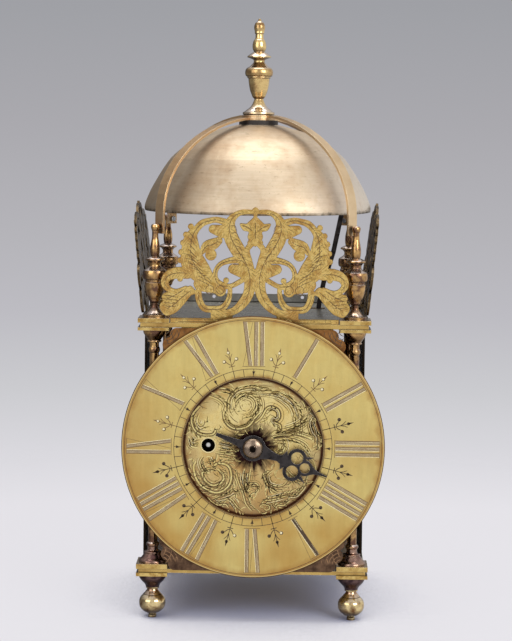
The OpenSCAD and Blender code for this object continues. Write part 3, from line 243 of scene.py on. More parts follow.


# Front plate: the same brass, engraved all over. Soot and old oil stain it dark round the
# hour arbor, a dark band at the ring's inner edge is painted shade, and outside the ring it has gone brown.
def plate_wear_and_shade(place, tint):
    out = distance_from(place, dial)
    grime = spread(place, 4.5, 5)
    apart = vectors("SUBTRACT", place, dial)[0]
    up = axis(apart, "Z")
    angle = maths("ARCTAN2", axis(apart, "X"), up)
    streak = add(tree_of(place), "TexNoise", {"noise_dimensions": "1D"},
                 {"W": angle, "Scale": 5.0, "Detail": 5.0}).outputs["Fac"]
    ragged = maths("MULTIPLY_ADD", grime, -11.0, out)
    torn = maths("MULTIPLY_ADD", streak, -9.0, ragged)
    halo = ramp(scaled(torn, 0.5, 9.0), [(0.0, 1.0), (0.45, 0.6), (1.0, 0.0)])
    rim = ramp(scaled(ragged, 27.0, 41.0), [(0.0, 0.0), (0.55, 0.35), (1.0, 0.95)])
    tint = mix(blotches(place, 26, 3, 0.5, 0.66, 0.45), tint, "#BE8F4C")
    tint = mix(scaled(up, 8 * MM, -30 * MM), tint, mix(0.55, tint, "#A87A48"))
    tint = mix(rim, tint, mix(ramp(grime, [(0.4, 0.0), (0.6, 1.0)]), "#8A5A34", "#5C4038"))
    # Painted shade: a dark band where the ring's inner edge stands over the plate
    tint = mix(between(out, 42.9, 47, 0.5), tint, "#43281A")
    tint = mix(halo, tint, ramp(halo, [(0.2, "#7A3E2E"), (0.8, "#2A1816")]))
    # The hole that the winding key enters is painted black inside as painted shade, under a pale ring round
    # its edge
    from_key = distance_from(place, key_hole)
    behind = maths("GREATER_THAN", axis(place, "Y"), plate_front + 0.25 * MM)
    wall = maths("MULTIPLY", between(from_key, 0, 4.6, 0.05), behind)
    tint = mix(between(from_key, 4.3, 5.0, 0.1), tint, "#EAD9A4")
    tint = mix(wall, tint, "#0C0A09")
    # Outside the ring the corners are mottled red brown above and nearly black below
    mottle = ramp(grime, [(0.35, 0.0), (0.65, 1.0)])
    corner = mix(scaled(up, -10 * MM, 10 * MM), mix(mottle, "#745A46", "#46342A"),
                 mix(mottle, "#9A6C3E", "#6E4828"))
    return mix(scaled(out, 50.0, 52.0), tint, corner)


plate_brass = metal("engraved_plate_brass", "#EFDA98", "#DCBE74", (0.3, 0.45), 12, 2.5, (1, 1, 1),
                    0.05, hollow_share=0.5, extra=plate_wear_and_shade)


def seam(height, level, half_mm, soft_mm):
    """A thin band of dirt where two parts meet."""
    return between(height, level - half_mm * MM, level + half_mm * MM, soft_mm * MM)


def filed_gold(mottle):
    """Brass kept bright by handling."""
    return mix(mottle, "#E0C27A", "#B08A48")


# Posts: cast brass turned on a lathe, gold where hands rub the swellings and brown as bronze, with
# painted shade in the coves, a painted highlight along the edges, faces that look up painted pale as
# painted light and those that look down dark as painted shade; rings of tool marks run round each post.
# Their square blocks are filed bright.
def post_wear_and_light(place, tint):
    height = axis(place, "Z")
    # Painted light on faces that look up, painted shade on those that look down
    tint = painted_top_light(tint)
    mottle = blotches(place, 6, 4, 0.4, 0.66)
    base = between(height, floor_z + 3.2 * MM, floor_z + 14 * MM, 1.5 * MM)
    tint = mix(base, tint, mix(mottle, "#A88A78", "#6A4A48"))
    for low, high in ((floor_z - 0.1 * MM, floor_z + 3.2 * MM), (ceiling_z - 2.1 * MM, ceiling_z),
                      (deck, deck + 2.8 * MM)):
        tint = mix(between(height, low, high), tint, filed_gold(mottle))
    for level in (floor_z, ceiling_z, deck):
        tint = mix(seam(height, level, 0.12, 0.05), tint, "#2A1C12")
    return tint


post_bronze = metal("turned_post_bronze", "#D2A86C", "#6E5040", (0.16, 0.3), 7, 1.4, (0.12, 0.12, 1),
                    0.03, hollow="#22150E", hollow_mm=3.2, hollow_share=0.9, tarnish_from=0.4,
                    tarnish_to=0.58, spot="#3A2820", rim="#DCC4A0", rim_mm=0.4, extra=post_wear_and_light)


# Top finial: the same casting, paler and brighter, most of all towards its foot, with painted light on faces
# that look up, painted shade on those that look down and a painted highlight along the edges
def crown_tone_and_light(place, tint):
    tall = crown_high - crown_low
    foot = scaled(axis(place, "Z"), crown_low + 0.3 * tall, crown_low + 0.1 * tall)
    return painted_top_light(mix(foot, tint, "#D8C4AC"), "#EADCD0", "#5A3E2A")


crown_bronze = metal("turned_crown_bronze", "#EACA8A", "#A07A50", (0.14, 0.26), 7, 1.4, (0.12, 0.12, 1),
                     0.03, hollow="#2C1B12", hollow_mm=3.2, hollow_share=0.9, tarnish_from=0.44,
                     tarnish_to=0.68, spot="#4A3320", rim="#F0E0BE", rim_mm=0.5, extra=crown_tone_and_light)


# Feet: cast brass balls, buffed so that they mirror the room, under necks left dark with wax
def foot_wear_and_light(place, tint):
    height = axis(place, "Z")
    mottle = blotches(place, 4, 4, 0.4, 0.62)
    cone, groove, cup = (foot_top * share for share in (0.53, 0.665, 0.70))
    # Painted highlight: the cone above the ball is painted pale
    tint = mix(between(height, cone, groove, 0.4 * MM), tint,
               mix(mottle, "#CDAE8C", "#8A6650"))
    tint = mix(between(height, cup, foot_top - 0.4 * MM, 0.3 * MM), tint,
               mix(mottle, "#6A5450", "#3A2A2E"))
    # Painted light on faces that look up, painted shade on those that look down
    tint = painted_top_light(tint, "#EFE0C8", "#4A3028")
    for level in (cone, groove + 0.1 * MM, cup):
        tint = mix(seam(height, level, 0.15, 0.1), tint, "#1E1410")
    block = scaled(height, foot_top - 0.5 * MM, foot_top - 0.3 * MM)
    return mix(block, tint, filed_gold(mottle))


foot_brass = metal("buffed_foot_brass", "#E8D09A", "#7E5A3A", (0.1, 0.2), 5, 1.2, (0.12, 0.12, 1),
                   0.015, hollow="#1C110A", hollow_mm=4.0, hollow_share=0.92, tarnish_from=0.45,
                   tarnish_to=0.66, spot="#3A281A", spot_share=0.7, extra=foot_wear_and_light)


# Hoops: hammered brass strap, draw-filed along its length, toned to a coppery tan. The strap at
# the front on the right is painted paler as painted light, and a painted highlight runs along the edges.
def hoop_right_light(place, tint):
    # Painted light: the front strap on the right is painted paler
    right = scaled(axis(place, "X"), 4 * MM, 30 * MM)
    front = scaled(axis(place, "Y"), 6 * MM, -10 * MM)
    painted_right_light = mix(spread(place, 9, 3), "#EAD2AC", "#CDAE84")
    return mix(maths("MULTIPLY", right, front), tint, painted_right_light)


hoop_brass = metal("filed_hoop_brass", "#D6B488", "#BC9266", (0.3, 0.42), 14, 1.0, (1, 1, 0.15),
                   0.03, hollow="#4A3322", hollow_mm=2.0, hollow_share=0.5, rim="#F4E2C0", rim_mm=0.6,
                   extra=hoop_right_light)


# Bell: pale bell metal, cast and turned. Faint rings run round it, the skin is mottled grey
# and tan, painted darker on the left as painted shade and paler on the right as painted light,
# and a dark line of verdigris sits along the lip.
def bell_wear_and_side_light(place, tint):
    ragged = maths("MULTIPLY_ADD", spread(place, 3, 5), -7 * MM, axis(place, "Z"))
    verdigris = scaled(ragged, lip - 1.6 * MM, lip - 4.2 * MM)
    # Painted shade on the left side, painted light on the right
    side = axis(place, "X")
    left = scaled(side, -30 * MM, -70 * MM, 0.4)
    right = scaled(side, 30 * MM, 70 * MM, 0.6)
    tint = mix(right, mix(left, tint, "#9A8A72"), "#F2EADE")
    tint = mix(blotches(place, 5, 6, 0.5, 0.72, 0.3), tint, "#B49A78")
    tint = mix(blotches(place, 2.2, 3, 0.64, 0.72, 0.4, (0.3, 0.3, 1)), tint, "#8A7458")
    return mix(verdigris, tint, "#5A5040")


bell_metal = metal("turned_bell_metal", "#CCBAA0", "#B8A084", (0.44, 0.56), 22, 1.1, (0.05, 0.05, 1),
                   0.05, hollow="#4A4234", hollow_mm=3, hollow_share=0.4, extra=bell_wear_and_side_light)


# Frets: sheet brass, sawn out, engraved and hatched, satin from years of cleaning, with painted shade along
# the edges
def fret_wear(place, tint):
    tint = mix(blotches(place, 0.9, 2, 0.55, 0.7, 0.5, (0.35, 1, 1)), tint, "#7E6234")
    return mix(blotches(place, 9, 3, 0.46, 0.62, 0.65), tint, "#B07E42")


fret_brass = metal("sawn_fret_brass", "#E6C678", "#C29C52", (0.28, 0.42), 4, 1.1, (1, 1, 0.4), 0.08,
                   hollow="#3A2814", hollow_mm=1.5, hollow_share=0.75, edge_mm=0.35, rim="#7A5A2A",
                   rim_mm=0.8, extra=fret_wear)
# Side frets: the same sheet, painted brown black as painted shade, with a painted highlight along the edges
shaded_fret_brass = metal("fret_brass_painted_shade", "#5A4A34", "#2E261D", (0.3, 0.42), 4, 1.6, (1, 1, 0.4),
                        0.08, hollow="#14100C", hollow_mm=1.5, rim="#A08A60", rim_mm=0.35,
                        spot="#8A7348", spot_share=0.6)


# Frame plates: cast brass plate with filed edges, a painted highlight of gold on the edges and brown between.
# Faces that look up, such as the broad face under the bell, are painted pale grey as painted light and are
# less metallic.
def upward(tree):
    return ramp(facing(tree, "Z"), [(0.9, 0.0), (0.98, 0.9)])


def painted_deck_light(place, tint):
    # Painted light: faces that look up are painted pale grey
    return mix(upward(tree_of(place)), tint, mix(spread(place, 12, 4), "#D2D2CC", "#98998E"))


def deck_skin(tree):
    return scaled(upward(tree), 0.0, 1.0, 0.45, 1.0)


frame_brass = metal("filed_frame_brass", "#D4B26A", "#A67E46", (0.22, 0.38), 16, 2.0, (0.2, 0.2, 1),
                    0.03, hollow="#20140C", hollow_mm=1.2, hollow_share=0.7, rim="#F0DCA0",
                    rim_mm=0.5, extra=painted_deck_light, skin=deck_skin)
# Doors: sheet brass coloured nearly black, with small brown spots
door_brass = metal("near_black_door_brass", "#2A221A", "#120F0C", (0.35, 0.5), 30, 2.5, (1, 1, 0.2), 0.03,
                   hollow="#0C0907", hollow_mm=3.0, spot="#5A4630")


# Movement: rolled clock brass, stoned with a straight grain and lightly tarnished. It is painted black
# as painted shade round the winding arbor behind the key hole and where the hour pipe comes out in front.
def painted_hole_shade(place, tint):
    near_key = between(distance_from(place, key_hole), -1, 9, 0.5)
    ahead = maths("LESS_THAN", axis(place, "Y"), plate_front)
    # Painted shade behind the key hole and round the hour pipe
    return mix(maths("MAXIMUM", near_key, ahead), tint, "#14100D")


train_brass = metal("stoned_clock_brass", "#CDAF66", "#A68448", (0.3, 0.42), 18, 1.2, (1, 1, 0.1), 0.02,
                    hollow="#2E2012", hollow_mm=2.0, extra=painted_hole_shade)
# Arbors, screws and springs: tool steel, filed and polished, a little blued
tool_steel = metal("polished_tool_steel", "#B9BCC0", "#8C9096", (0.18, 0.32), 8, 0.8, (1, 1, 1), 0.02,
                   hollow="#1A1A1C", hollow_mm=1.5, spot="#5B4A3E", spot_share=0.3)


# Winding arbor: the same steel, painted black as painted shade in the key hole and bright only at the middle
# of its end
def key_hole_shade(place, tint):
    # Painted shade: all but the middle of the arbor's end is painted black
    back = scaled(axis(place, "Y"), key_end + 0.3 * MM, key_end + 1.2 * MM)
    outside = scaled(distance_from(place, key_hole), 1.0, 1.6)
    return mix(maths("MAXIMUM", back, outside), tint, "#0C0A0A")


key_steel = metal("key_steel_painted_shade", "#D8D6D2", "#B4B2AE", (0.2, 0.35), 4, 0.8, (1, 1, 1), 0.02,
                  hollow="#1A1A1C", hollow_mm=0.6, hollow_share=0.4, extra=key_hole_shade)


# Back plate: rolled sheet steel, pale grey with a bloom of rust, and painted black as painted shade
# on the face inside the case
def inside_case_shade(place, tint):
    # Painted shade on the face inside the case, below the deck
    inner = scaled(facing(tree_of(place), "Y"), -0.5, -0.8)
    low = scaled(axis(place, "Z"), deck + 1.0 * MM, deck)
    return mix(maths("MULTIPLY", inner, low), tint, "#14110E")


sheet_steel = metal("pale_sheet_steel", "#B4B5B2", "#8C8B84", (0.36, 0.5), 20, 2.0, (1, 1, 0.2), 0.03,
                    hollow="#141312", hollow_mm=1.5, spot="#6B4630", spot_share=0.4, extra=inside_case_shade)
# Hand and hammer: forged iron, blued and oiled, nearly black with a soft sheen, and a grey
# painted highlight along the edges
black_iron = metal("oiled_black_iron", "#444040", "#262424", (0.26, 0.38), 4, 1.6, (1, 1, 1), 0.03,
                   hollow="#08080A", hollow_mm=1.5, edge_mm=0.35, spot="#6A5048", spot_share=0.5,
                   rim="#8A8484", rim_mm=0.4)
# Collet: a turned brass dome that holds the hand, browned but still bright on its crown
collet_bronze = metal("turned_collet_bronze", "#8E7C6A", "#564840", (0.2, 0.32), 3, 0.8, (1, 1, 1), 0.02,
                      hollow="#1A1210", hollow_mm=1.5)


def dull(name, code, rough, size_mm, depth_mm, second):
    """A plain surface with a soft mottle and a small relief."""
    made, tree, out = blank(name)
    place = add(tree, "TexCoord").outputs["Object"]
    grit = spread(place, size_mm, 4)
    tint = mix(ramp(grit, [(0.35, 0.0), (0.65, 1.0)]), code, second)
    relief = add(tree, "Bump", inputs={"Strength": 0.6, "Distance": depth_mm * MM, "Height": grit})
    body = add(tree, "BsdfPrincipled", inputs={"Base Color": tint, "Roughness": rough,
                                               "Normal": relief.outputs["Normal"]})
    tree.links.new(body.outputs["BSDF"], out.inputs["Surface"])
    return made


# Washer: oak-tanned leather, black with oil, pebbled at about half a millimetre
oiled_leather = dull("oiled_leather", "#1C1613", 0.6, 0.5, 0.15, "#2A211B")
# Engraved lines: black wax rubbed into the cuts, dull and a little brown
black_wax = dull("black_wax", "#3A2A18", 0.55, 0.8, 0.05, "#4E3A22")
# Shallow cuts: the same wax, worn thin so that the brass shows through it
brown_wax = dull("worn_brown_wax", "#6A5030", 0.5, 1.2, 0.05, "#8A6C3E")
# Scrolls that the light rakes: the brass shows olive in their shade
olive_shade = dull("thin_olive_wax", "#8F7636", 0.5, 2.0, 0.05, "#75602C")
# Numeral strokes: cuts crossed with fine hatching whose wax has worn to a grey brown
worn_wax = dull("worn_grey_wax", "#937F62", 0.5, 0.7, 0.1, "#B09A76")
# Burr: the lip that a graver raises beside its cut, painted bright as a painted highlight
burr_highlight_brass = dull("painted_burr_highlight", "#F6EAC4", 0.35, 1.0, 0.02, "#E6D29A")
# Scraped ground: brass that the graver pared beside the scrolls, matt and warm, drawn pale as a painted
# highlight
pared_highlight_brass = dull("pared_highlight_brass", "#DFCF8C", 0.6, 3.0, 0.02, "#CDB56C")
# Brown wax on the fret, thinner than in the dial
fret_wax = dull("fret_brown_wax", "#5A4222", 0.55, 0.8, 0.05, "#74592F")
# Hatching: cuts too shallow to hold wax, seen as a darker gold, with brighter gold beside them as a painted
# highlight
hatch_brass = dull("shallow_hatch_brass", "#8A6A32", 0.5, 1.0, 0.02, "#765826")
hatch_highlight_brass = dull("painted_hatch_highlight", "#E6CC84", 0.45, 1.0, 0.02, "#D2B268")
# Cuts of the dial centre: brown wax over green tarnish
centre_wax = dull("centre_brown_wax", "#54401A", 0.5, 1.5, 0.04, "#745A28")
# Cuts in the blackened corners: bare brass shows at the bottom of each
corner_brass = dull("bare_corner_cuts", "#A98058", 0.5, 2.0, 0.05, "#7A5838")

finishes = {
    "foot_": foot_brass, "pillar_": post_bronze, "finial_": post_bronze, "top_finial": crown_bronze,
    "hand_collet": collet_bronze, "bell_hoop": hoop_brass, "bell": bell_metal,
    "bell_washer": oiled_leather, "fret_front": fret_brass, "fret_": shaded_fret_brass,
    "front_plate": plate_brass, "chapter_ring": ring_brass, "back_plate": sheet_steel,
    "door_": door_brass, "bottom_plate": frame_brass, "top_plate": frame_brass,
    "hour_hand": black_iron, "hammer_arm": black_iron, "hammer_head": black_iron,
    "barrel_arbor": key_steel}
finishes.update(dict.fromkeys((
    "bell_nut", "hoop_screws", "fret_screws", "hammer_stop", "click", "mainspring", "ratchet_wheel",
    "second_arbor", "third_arbor", "escape_arbor", "pallets", "pendulum_rod"), tool_steel))
# A node takes the finish of the longest key that its name starts with, or else clock brass
for name, piece in nodes.items():
    fits = [key for key in finishes if name.startswith(key)]
    finish = finishes[max(fits, key=len)] if fits else train_brass
    piece.data.materials.clear()
    piece.data.materials.append(finish)


# Drawing tools
def curve(points, steps=6):
    """A smooth line through the points."""
    at = lambda i: Vector(points[min(max(i, 0), len(points) - 1)])
    line = []
    for i in range(len(points) - 1):
        a, b, c, d = at(i - 1), at(i), at(i + 1), at(i + 2)
        for k in range(steps):
            t = k / steps
            line.append(0.5 * (2 * b + (c - a) * t + (2 * a - 5 * b + 4 * c - d) * t * t
                               + (3 * b - a - 3 * c + d) * t * t * t))
    return line + [at(len(points) - 1)]


def stroke(line, wide, tip):
    """A line as quads, wide in the middle. Its ends have the share tip of that width."""
    line = [Vector(p) for p in line]
    left, right = [], []
    for i, p in enumerate(line):
        run = line[min(i + 1, len(line) - 1)] - line[max(i - 1, 0)]
        if run.length < 1e-9:
            run = Vector((1, 0))
        side = Vector((-run.y, run.x)).normalized()
        share = i / (len(line) - 1)
        half = wide / 2 * (tip + (1 - tip) * math.sin(math.pi * share) ** 0.5) if tip < 1 else wide / 2
        left.append(p + side * half)
        right.append(p - side * half)
    return [[right[i], right[i + 1], left[i + 1], left[i]] for i in range(len(line) - 1)]


def disc(x, y, r, sides=12):
    """A round dot."""
    return [[Vector((x + r * math.cos(a), y + r * math.sin(a)))
             for a in (2 * math.pi * k / sides for k in range(sides))]]


def placed(name, data):
    made = bpy.data.objects.new(name, data)
    bpy.context.scene.collection.objects.link(made)
    return made


def sheet_of(name, verts, faces, finish):
    mesh = bpy.data.meshes.new(name)
    mesh.from_pydata(verts, [], faces)
    mesh.materials.append(finish)
    return placed(name, mesh)


def flat_piece(name, shapes, place, body, finish):
    """Flat shapes laid on a surface as one piece."""
    verts, faces = [], []
    for shape in shapes:
        faces.append(list(range(len(verts), len(verts) + len(shape))))
        verts.extend(place(p.x, p.y) for p in shape)
    made = sheet_of(name, verts, faces, finish)
    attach(made, body)


def on_dial(y):
    """Places on the dial, in millimetres right of and above its centre, at depth y."""
    return lambda u, v: (dial.x + u * MM, y, dial.z + v * MM)


def clock_point(r, hour_deg, across=0.0):
    """A point at radius r and an angle clockwise from twelve, moved across to the right."""
    a = math.radians(hour_deg)
    return Vector((r * math.sin(a) + across * math.cos(a), r * math.cos(a) - across * math.sin(a)))


# Chapter ring engraving
lines, soft_lines, hatch, lights = [], [], [], []
QUARTER_IN, QUARTER_OUT, RIM = 45.4, 50.2, 81.5
for radius, wide in ((44.7, 0.5), (QUARTER_IN, 0.34), (QUARTER_OUT, 0.34), (RIM, 0.28)):
    lines += stroke([clock_point(radius, k * 3) for k in range(121)], wide, 1)
for k in range(48):
    lines += stroke([clock_point(QUARTER_IN, k * 7.5), clock_point(QUARTER_OUT, k * 7.5)], 0.36, 1)
    if k % 4 == 0:
        lines.append([clock_point(46.2, k * 7.5, -0.2), clock_point(48.8, k * 7.5, -1.0),
                      clock_point(48.8, k * 7.5, 1.0)])


def half_hour(angle):
    """A small lily that marks the half hour: a stem, a cross bar, two curls and punched dots.
    The dots above the dial's middle catch the light and the rest are dark."""
    point = lambda r, s: clock_point(r, angle, s)
    bright = math.cos(math.radians(angle + 20)) > 0.2
    cuts = soft_lines if bright else lines
    cuts.extend(stroke([point(QUARTER_IN, 0), point(63.4, 0)], 0.42, 1))
    cuts.extend(stroke([point(53.4, -1.9), point(53.4, 1.9)], 0.5, 1))
    cuts.append([point(62.6, -0.7), point(66.0, 0), point(62.6, 0.7)])
    for s in (-1, 1):
        cuts.extend(stroke(curve([point(54.2, 0), point(55.0, 1.3 * s), point(56.4, 2.5 * s),
                                  point(58.0, 3.7 * s)], 4), 0.5, 0.5))
        cuts.extend(stroke(curve([point(57.0, 0), point(59.6, 0.9 * s), point(61.4, 2.2 * s)], 4),
                           0.42, 0.4))
        lines.extend(disc(*point(57.4, 4.0 * s), 1.15))
        if bright or s * math.cos(math.radians(angle)) > 0.9:
            lights.extend(disc(*(point(57.4, 4.0 * s) + Vector((-0.2, 0.1))), 0.8, 10))
    lines.extend(disc(*point(62.4, 0), 1.0))
    if bright:
        lights.extend(disc(*(point(62.4, 0) + Vector((-0.15, 0.1))), 0.75, 10))


for k in range(12):
    half_hour(15 + 30 * k)

numerals = ["XII", "I", "II", "III", "IIII", "V", "VI", "VII", "VIII", "IX", "X", "XI"]
letter_wide = {"I": 3.85, "V": 6.6, "X": 6.8}
FEET, HEADS, THICK = 51.8, 80.4, 2.5
# The V of five is the only numeral that has kept its wax
FULL_OF_WAX = 5
wear = random.Random(4)


def thick_stroke(point, x0, x1, worn=True):
    """A broad stroke from the foot at x0 to the head at x1: a band of worn hatching between
    two cuts, with a painted highlight beside the right hand cut. One that isn't worn is full of wax."""
    foot, head = FEET + 0.4, HEADS - 0.3
    ends = lambda s: (point(foot, x0 + s * THICK), point(head, x1 + s * THICK))
    low_left, high_left = ends(-0.5)
    low_right, high_right = ends(0.28)
    (hatch if worn else lines).append([low_left, low_right, high_right, high_left])
    for low_end, high_end in ((low_left, high_left), (low_right, high_right)):
        soft_lines.extend(stroke([low_end, high_end], 0.42, 1))
        start = wear.uniform(0.0, 0.6)
        waxed = [low_end.lerp(high_end, start), low_end.lerp(high_end, start + 0.4)]
        lines.extend(stroke(waxed, 0.5, 0.1))
    lights.extend(stroke(ends(0.42), 0.36, 1))
    # Broken streaks along the stroke, some full of wax and some painted bright as highlights
    for k in range(8):
        start = wear.uniform(-0.1, 0.85)
        stop = min(start + wear.uniform(0.12, 0.4), 1.0)
        start = max(start, 0.0)
        across, drift = wear.uniform(0.08, 0.92), wear.uniform(-0.12, 0.12)
        first = low_left.lerp(high_left, start).lerp(low_right.lerp(high_right, start), across)
        last = low_left.lerp(high_left, stop).lerp(low_right.lerp(high_right, stop), across + drift)
        cuts = lights if wear.random() < 0.42 else soft_lines
        cuts.extend(stroke([first, last], wear.uniform(0.3, 0.6), 0.2))


def thin_stroke(point, x0, x1):
    soft_lines.extend(stroke([point(FEET + 0.4, x0), point(HEADS - 0.4, x1)], 0.4, 0.6))


def serif(point, r, half):
    soft_lines.extend(stroke([point(r, -half), point(r, half)], 0.36, 1))


for hour, word in enumerate(numerals):
    point = lambda r, s, turn=hour * 30: clock_point(r, turn, s)
    total = sum(letter_wide[c] for c in word)
    x = -total / 2
    serif(point, FEET, total / 2)
    serif(point, HEADS, total / 2)
    for letter in word:
        mid = x + letter_wide[letter] / 2
        if letter == "I":
            thick_stroke(point, mid, mid)
        elif letter == "V":
            thick_stroke(point, mid + 0.4, mid - 2.0, hour != FULL_OF_WAX)
            thin_stroke(point, mid + 0.8, mid + 2.9)
        else:
            thick_stroke(point, mid + 1.9, mid - 1.9)
            thin_stroke(point, mid - 2.9, mid + 2.9)
        x += letter_wide[letter]

for name, cuts, lift_mm, wax in (("numeral_hatching", hatch, 0.010, worn_wax),
                                 ("numeral_cuts", soft_lines, 0.020, brown_wax),
                                 ("ring_engraving", lines, 0.025, black_wax),
                                 ("ring_burrs", lights, 0.035, burr_highlight_brass)):
    flat_piece(name, cuts, on_dial(ring_front - lift_mm * MM), "frame", wax)

# Engraved dial centre
# Scrolling acanthus, in millimetres from the dial's centre. Each stem is engraved as a cut
# with a painted highlight beside it, and leaves of short cuts spring from its outer side (side 1 or -1).
stems = [
    (1, [(-18.8, 22.5), (-18.4, 17.8), (-15.7, 13.7), (-11.6, 11.6), (-6.1, 12), (-2, 14.3), (1.4, 19),
         (5.1, 23.6)]),
    (-1, [(1.4, 15.7), (5.5, 19.8), (8.2, 24.6), (11.6, 26), (15.7, 23.9), (16.7, 19.8), (15, 17.4),
          (12.3, 17.7), (14.3, 15.7), (17.1, 14.3), (17.1, 10.9), (15, 8.9)]),
    (1, [(-11.6, 26), (-10.2, 30), (-6.1, 32.8), (-0.7, 31.4), (1.4, 27.3), (-0.7, 22.5), (-4.8, 20.5)]),
    (1, [(-15, 21.9), (-14.3, 30.7), (-8.9, 36.2), (-0.7, 37.6), (8, 36)]),
    (1, [(-4, 34.8), (13, 34.2), (21.2, 31.4), (26.6, 26.6), (28.7, 20.5), (28.3, 17)]),
    (1, [(7.5, 33.5), (15.7, 32.1), (22.5, 27.3), (25.3, 21.9), (24.6, 16.4)]),
    (-1, [(-34.2, 26), (-38.2, 20.5), (-38.9, 15), (-36.2, 9.6), (-30.7, 7.5), (-25.3, 8.2), (-23.2, 12.3)]),
    (-1, [(-34.8, 21.2), (-36.2, 16.4), (-34.2, 13), (-31.4, 13.7), (-31, 16.8)]),
    (-1, [(-38.9, 6.8), (-38.2, 3.4), (-34.8, 4.1), (-30, 4.8)]),
    (1, [(-40.3, 5.5), (-38.9, 0.7), (-34.2, 0)]),
    (1, [(-24.6, -14.3), (-23.9, -11.6), (-20.5, -10.6), (-15.7, -12.3), (-13.7, -17.1), (-14.3, -23.2),
         (-18.4, -28), (-23.9, -29.4), (-30.7, -26.6), (-35.5, -21.2), (-37.6, -13.7), (-36.2, -9.6)]),
    (1, [(-22.5, -14.3), (-19.8, -16.4), (-18.4, -20.5), (-21.2, -23.9), (-26, -24.6), (-30, -21.9),
         (-32.1, -17.1), (-30, -16.4), (-27.3, -17.1)]),
    (1, [(-4.8, -14.3), (-5.5, -20.5), (-4.1, -30)]),
    (-1, [(-2, -13.7), (-2.7, -19.1), (-4, -29.4)]),
    (1, [(-10.2, -14.3), (-8.9, -20.5), (-5.5, -29.4), (-3.4, -36.2), (0.7, -41)]),
    (-1, [(-3.4, -28), (-2, -24.6), (2, -23.9), (3.4, -26.6), (2, -29.4)]),
    (-1, [(7.5, -13.7), (8.2, -19.1), (10.9, -24.6), (16, -28.5)]),
    (-1, [(13, -13.7), (8.9, -17.8), (10.2, -23.2), (15, -25.3), (19.8, -24.6), (23, -21)]),
    (1, [(6.1, -33.5), (13, -32.8), (19.8, -30.7), (28, -28)]),
    (1, [(4.1, -38.2), (6.1, -36.2), (10.9, -36.9), (11.6, -39.6), (8.9, -41), (6.8, -39.6)]),
    (1, [(13.5, -40), (16, -36.5), (20, -36.2), (24, -33)]),
    (-1, [(-25.3, -34.2), (-19.8, -32.1), (-14.3, -30), (-11.6, -28), (-8.9, -31.4)]),
    (1, [(-28, -32), (-23, -36.5), (-17.1, -36.2), (-14.3, -39)]),
    (-1, [(-16.5, -32.5), (-13, -35), (-10, -39), (-6, -42)]),
    (1, [(34.2, 20.5), (36.2, 23.2), (38.9, 20.5), (36.9, 16.4), (38.2, 10.9), (41, 6.8), (41, 2),
         (38.2, 0)]),
    (1, [(35.5, 19.1), (37, 13.7), (38.6, 8.2), (39, 3)]),
    (1, [(11.6, 6.1), (16.4, 7.5), (21.9, 7.9), (26, 8.9), (30.7, 8.2), (38.2, 5.5)]),
    (-1, [(12.3, 5.5), (19.1, 6.5), (26, 5.8), (32.8, 2.7), (36.9, -2.7)]),
    (-1, [(13, 4.1), (18.4, 4.4), (19.8, 1.4), (18.4, -2), (15.7, -2.7), (14.5, -0.5)]),
    (1, [(28, 0), (33, -4), (36, -9), (38.5, -14)]),
    (-1, [(-23.9, 2), (-18.4, 0.7), (-12.3, 0)]), (1, [(-23.2, 3.4), (-17.1, 2), (-11.6, 1.4)]),
    (1, [(-23.2, -2), (-17.1, -2.7), (-11.6, -3.4)]), (-1, [(-24, -4.5), (-18, -5), (-12.5, -6)]),
    (-1, [(-28, -7), (-27.5, -9.5), (-25, -9.3), (-25.5, -7)]),
    (1, [(-31, -6.5), (-33, -10), (-31.5, -14.5), (-28.5, -16)]),
    (1, [(-28, 33), (-22, 30.5), (-18.5, 26.5), (-20, 21)]), (-1, [(-24, 37), (-16, 36), (-11, 33)]),
    (1, [(22, 39), (28, 34.5), (32.5, 28.5), (34, 23.5)]),
    (-1, [(18, 12), (24, 13.5), (30, 17), (33, 22)]), (1, [(19.5, 10.5), (26, 11.5), (32, 14.5), (35, 18.5)]),
    (1, [(21, -30.5), (27, -31), (31.5, -27), (34.5, -22)]),
    (-1, [(20, -13), (24.5, -18), (30, -21.5), (35, -20)])]
# Stems that were cut broad, so that both their edges show
BOLD = (0, 1, 6, 10, 11, 26)
chance = random.Random(11)
shades = {"pared_light": [], "olive": [], "dark": [], "light": []}
REACH, CLEAR_OF_ARBOR, CLEAR_OF_KEY = 43.8, 8.5, 6.0


def inside(p):
    """Whether p lies on the dial centre, clear of the hour arbor and the key hole."""
    return CLEAR_OF_ARBOR < p.length < REACH and (p - KEY_HOLE_MM).length > CLEAR_OF_KEY


def tone(p):
    """Cuts in the lower and outer parts lie in shade and show dark. Those in the upper part
    catch the light."""
    return "dark" if p.y < -6 + 12 * noise.noise(p.to_3d() * 0.05) or p.length > 39 else "olive"


def beside(line, gap):
    """The line moved sideways by gap, to the left of its run."""
    moved = []
    for a, b in zip(line[:-1], line[1:]):
        run = (b - a).normalized()
        moved.append(a + Vector((-run.y, run.x)) * gap)
    return [p for p in moved if inside(p)]


def engrave(kind, line, wide, tip):
    """A cut of one shade, where enough of its line is left."""
    if len(line) > 2:
        shades[kind] += stroke(line, wide, tip)


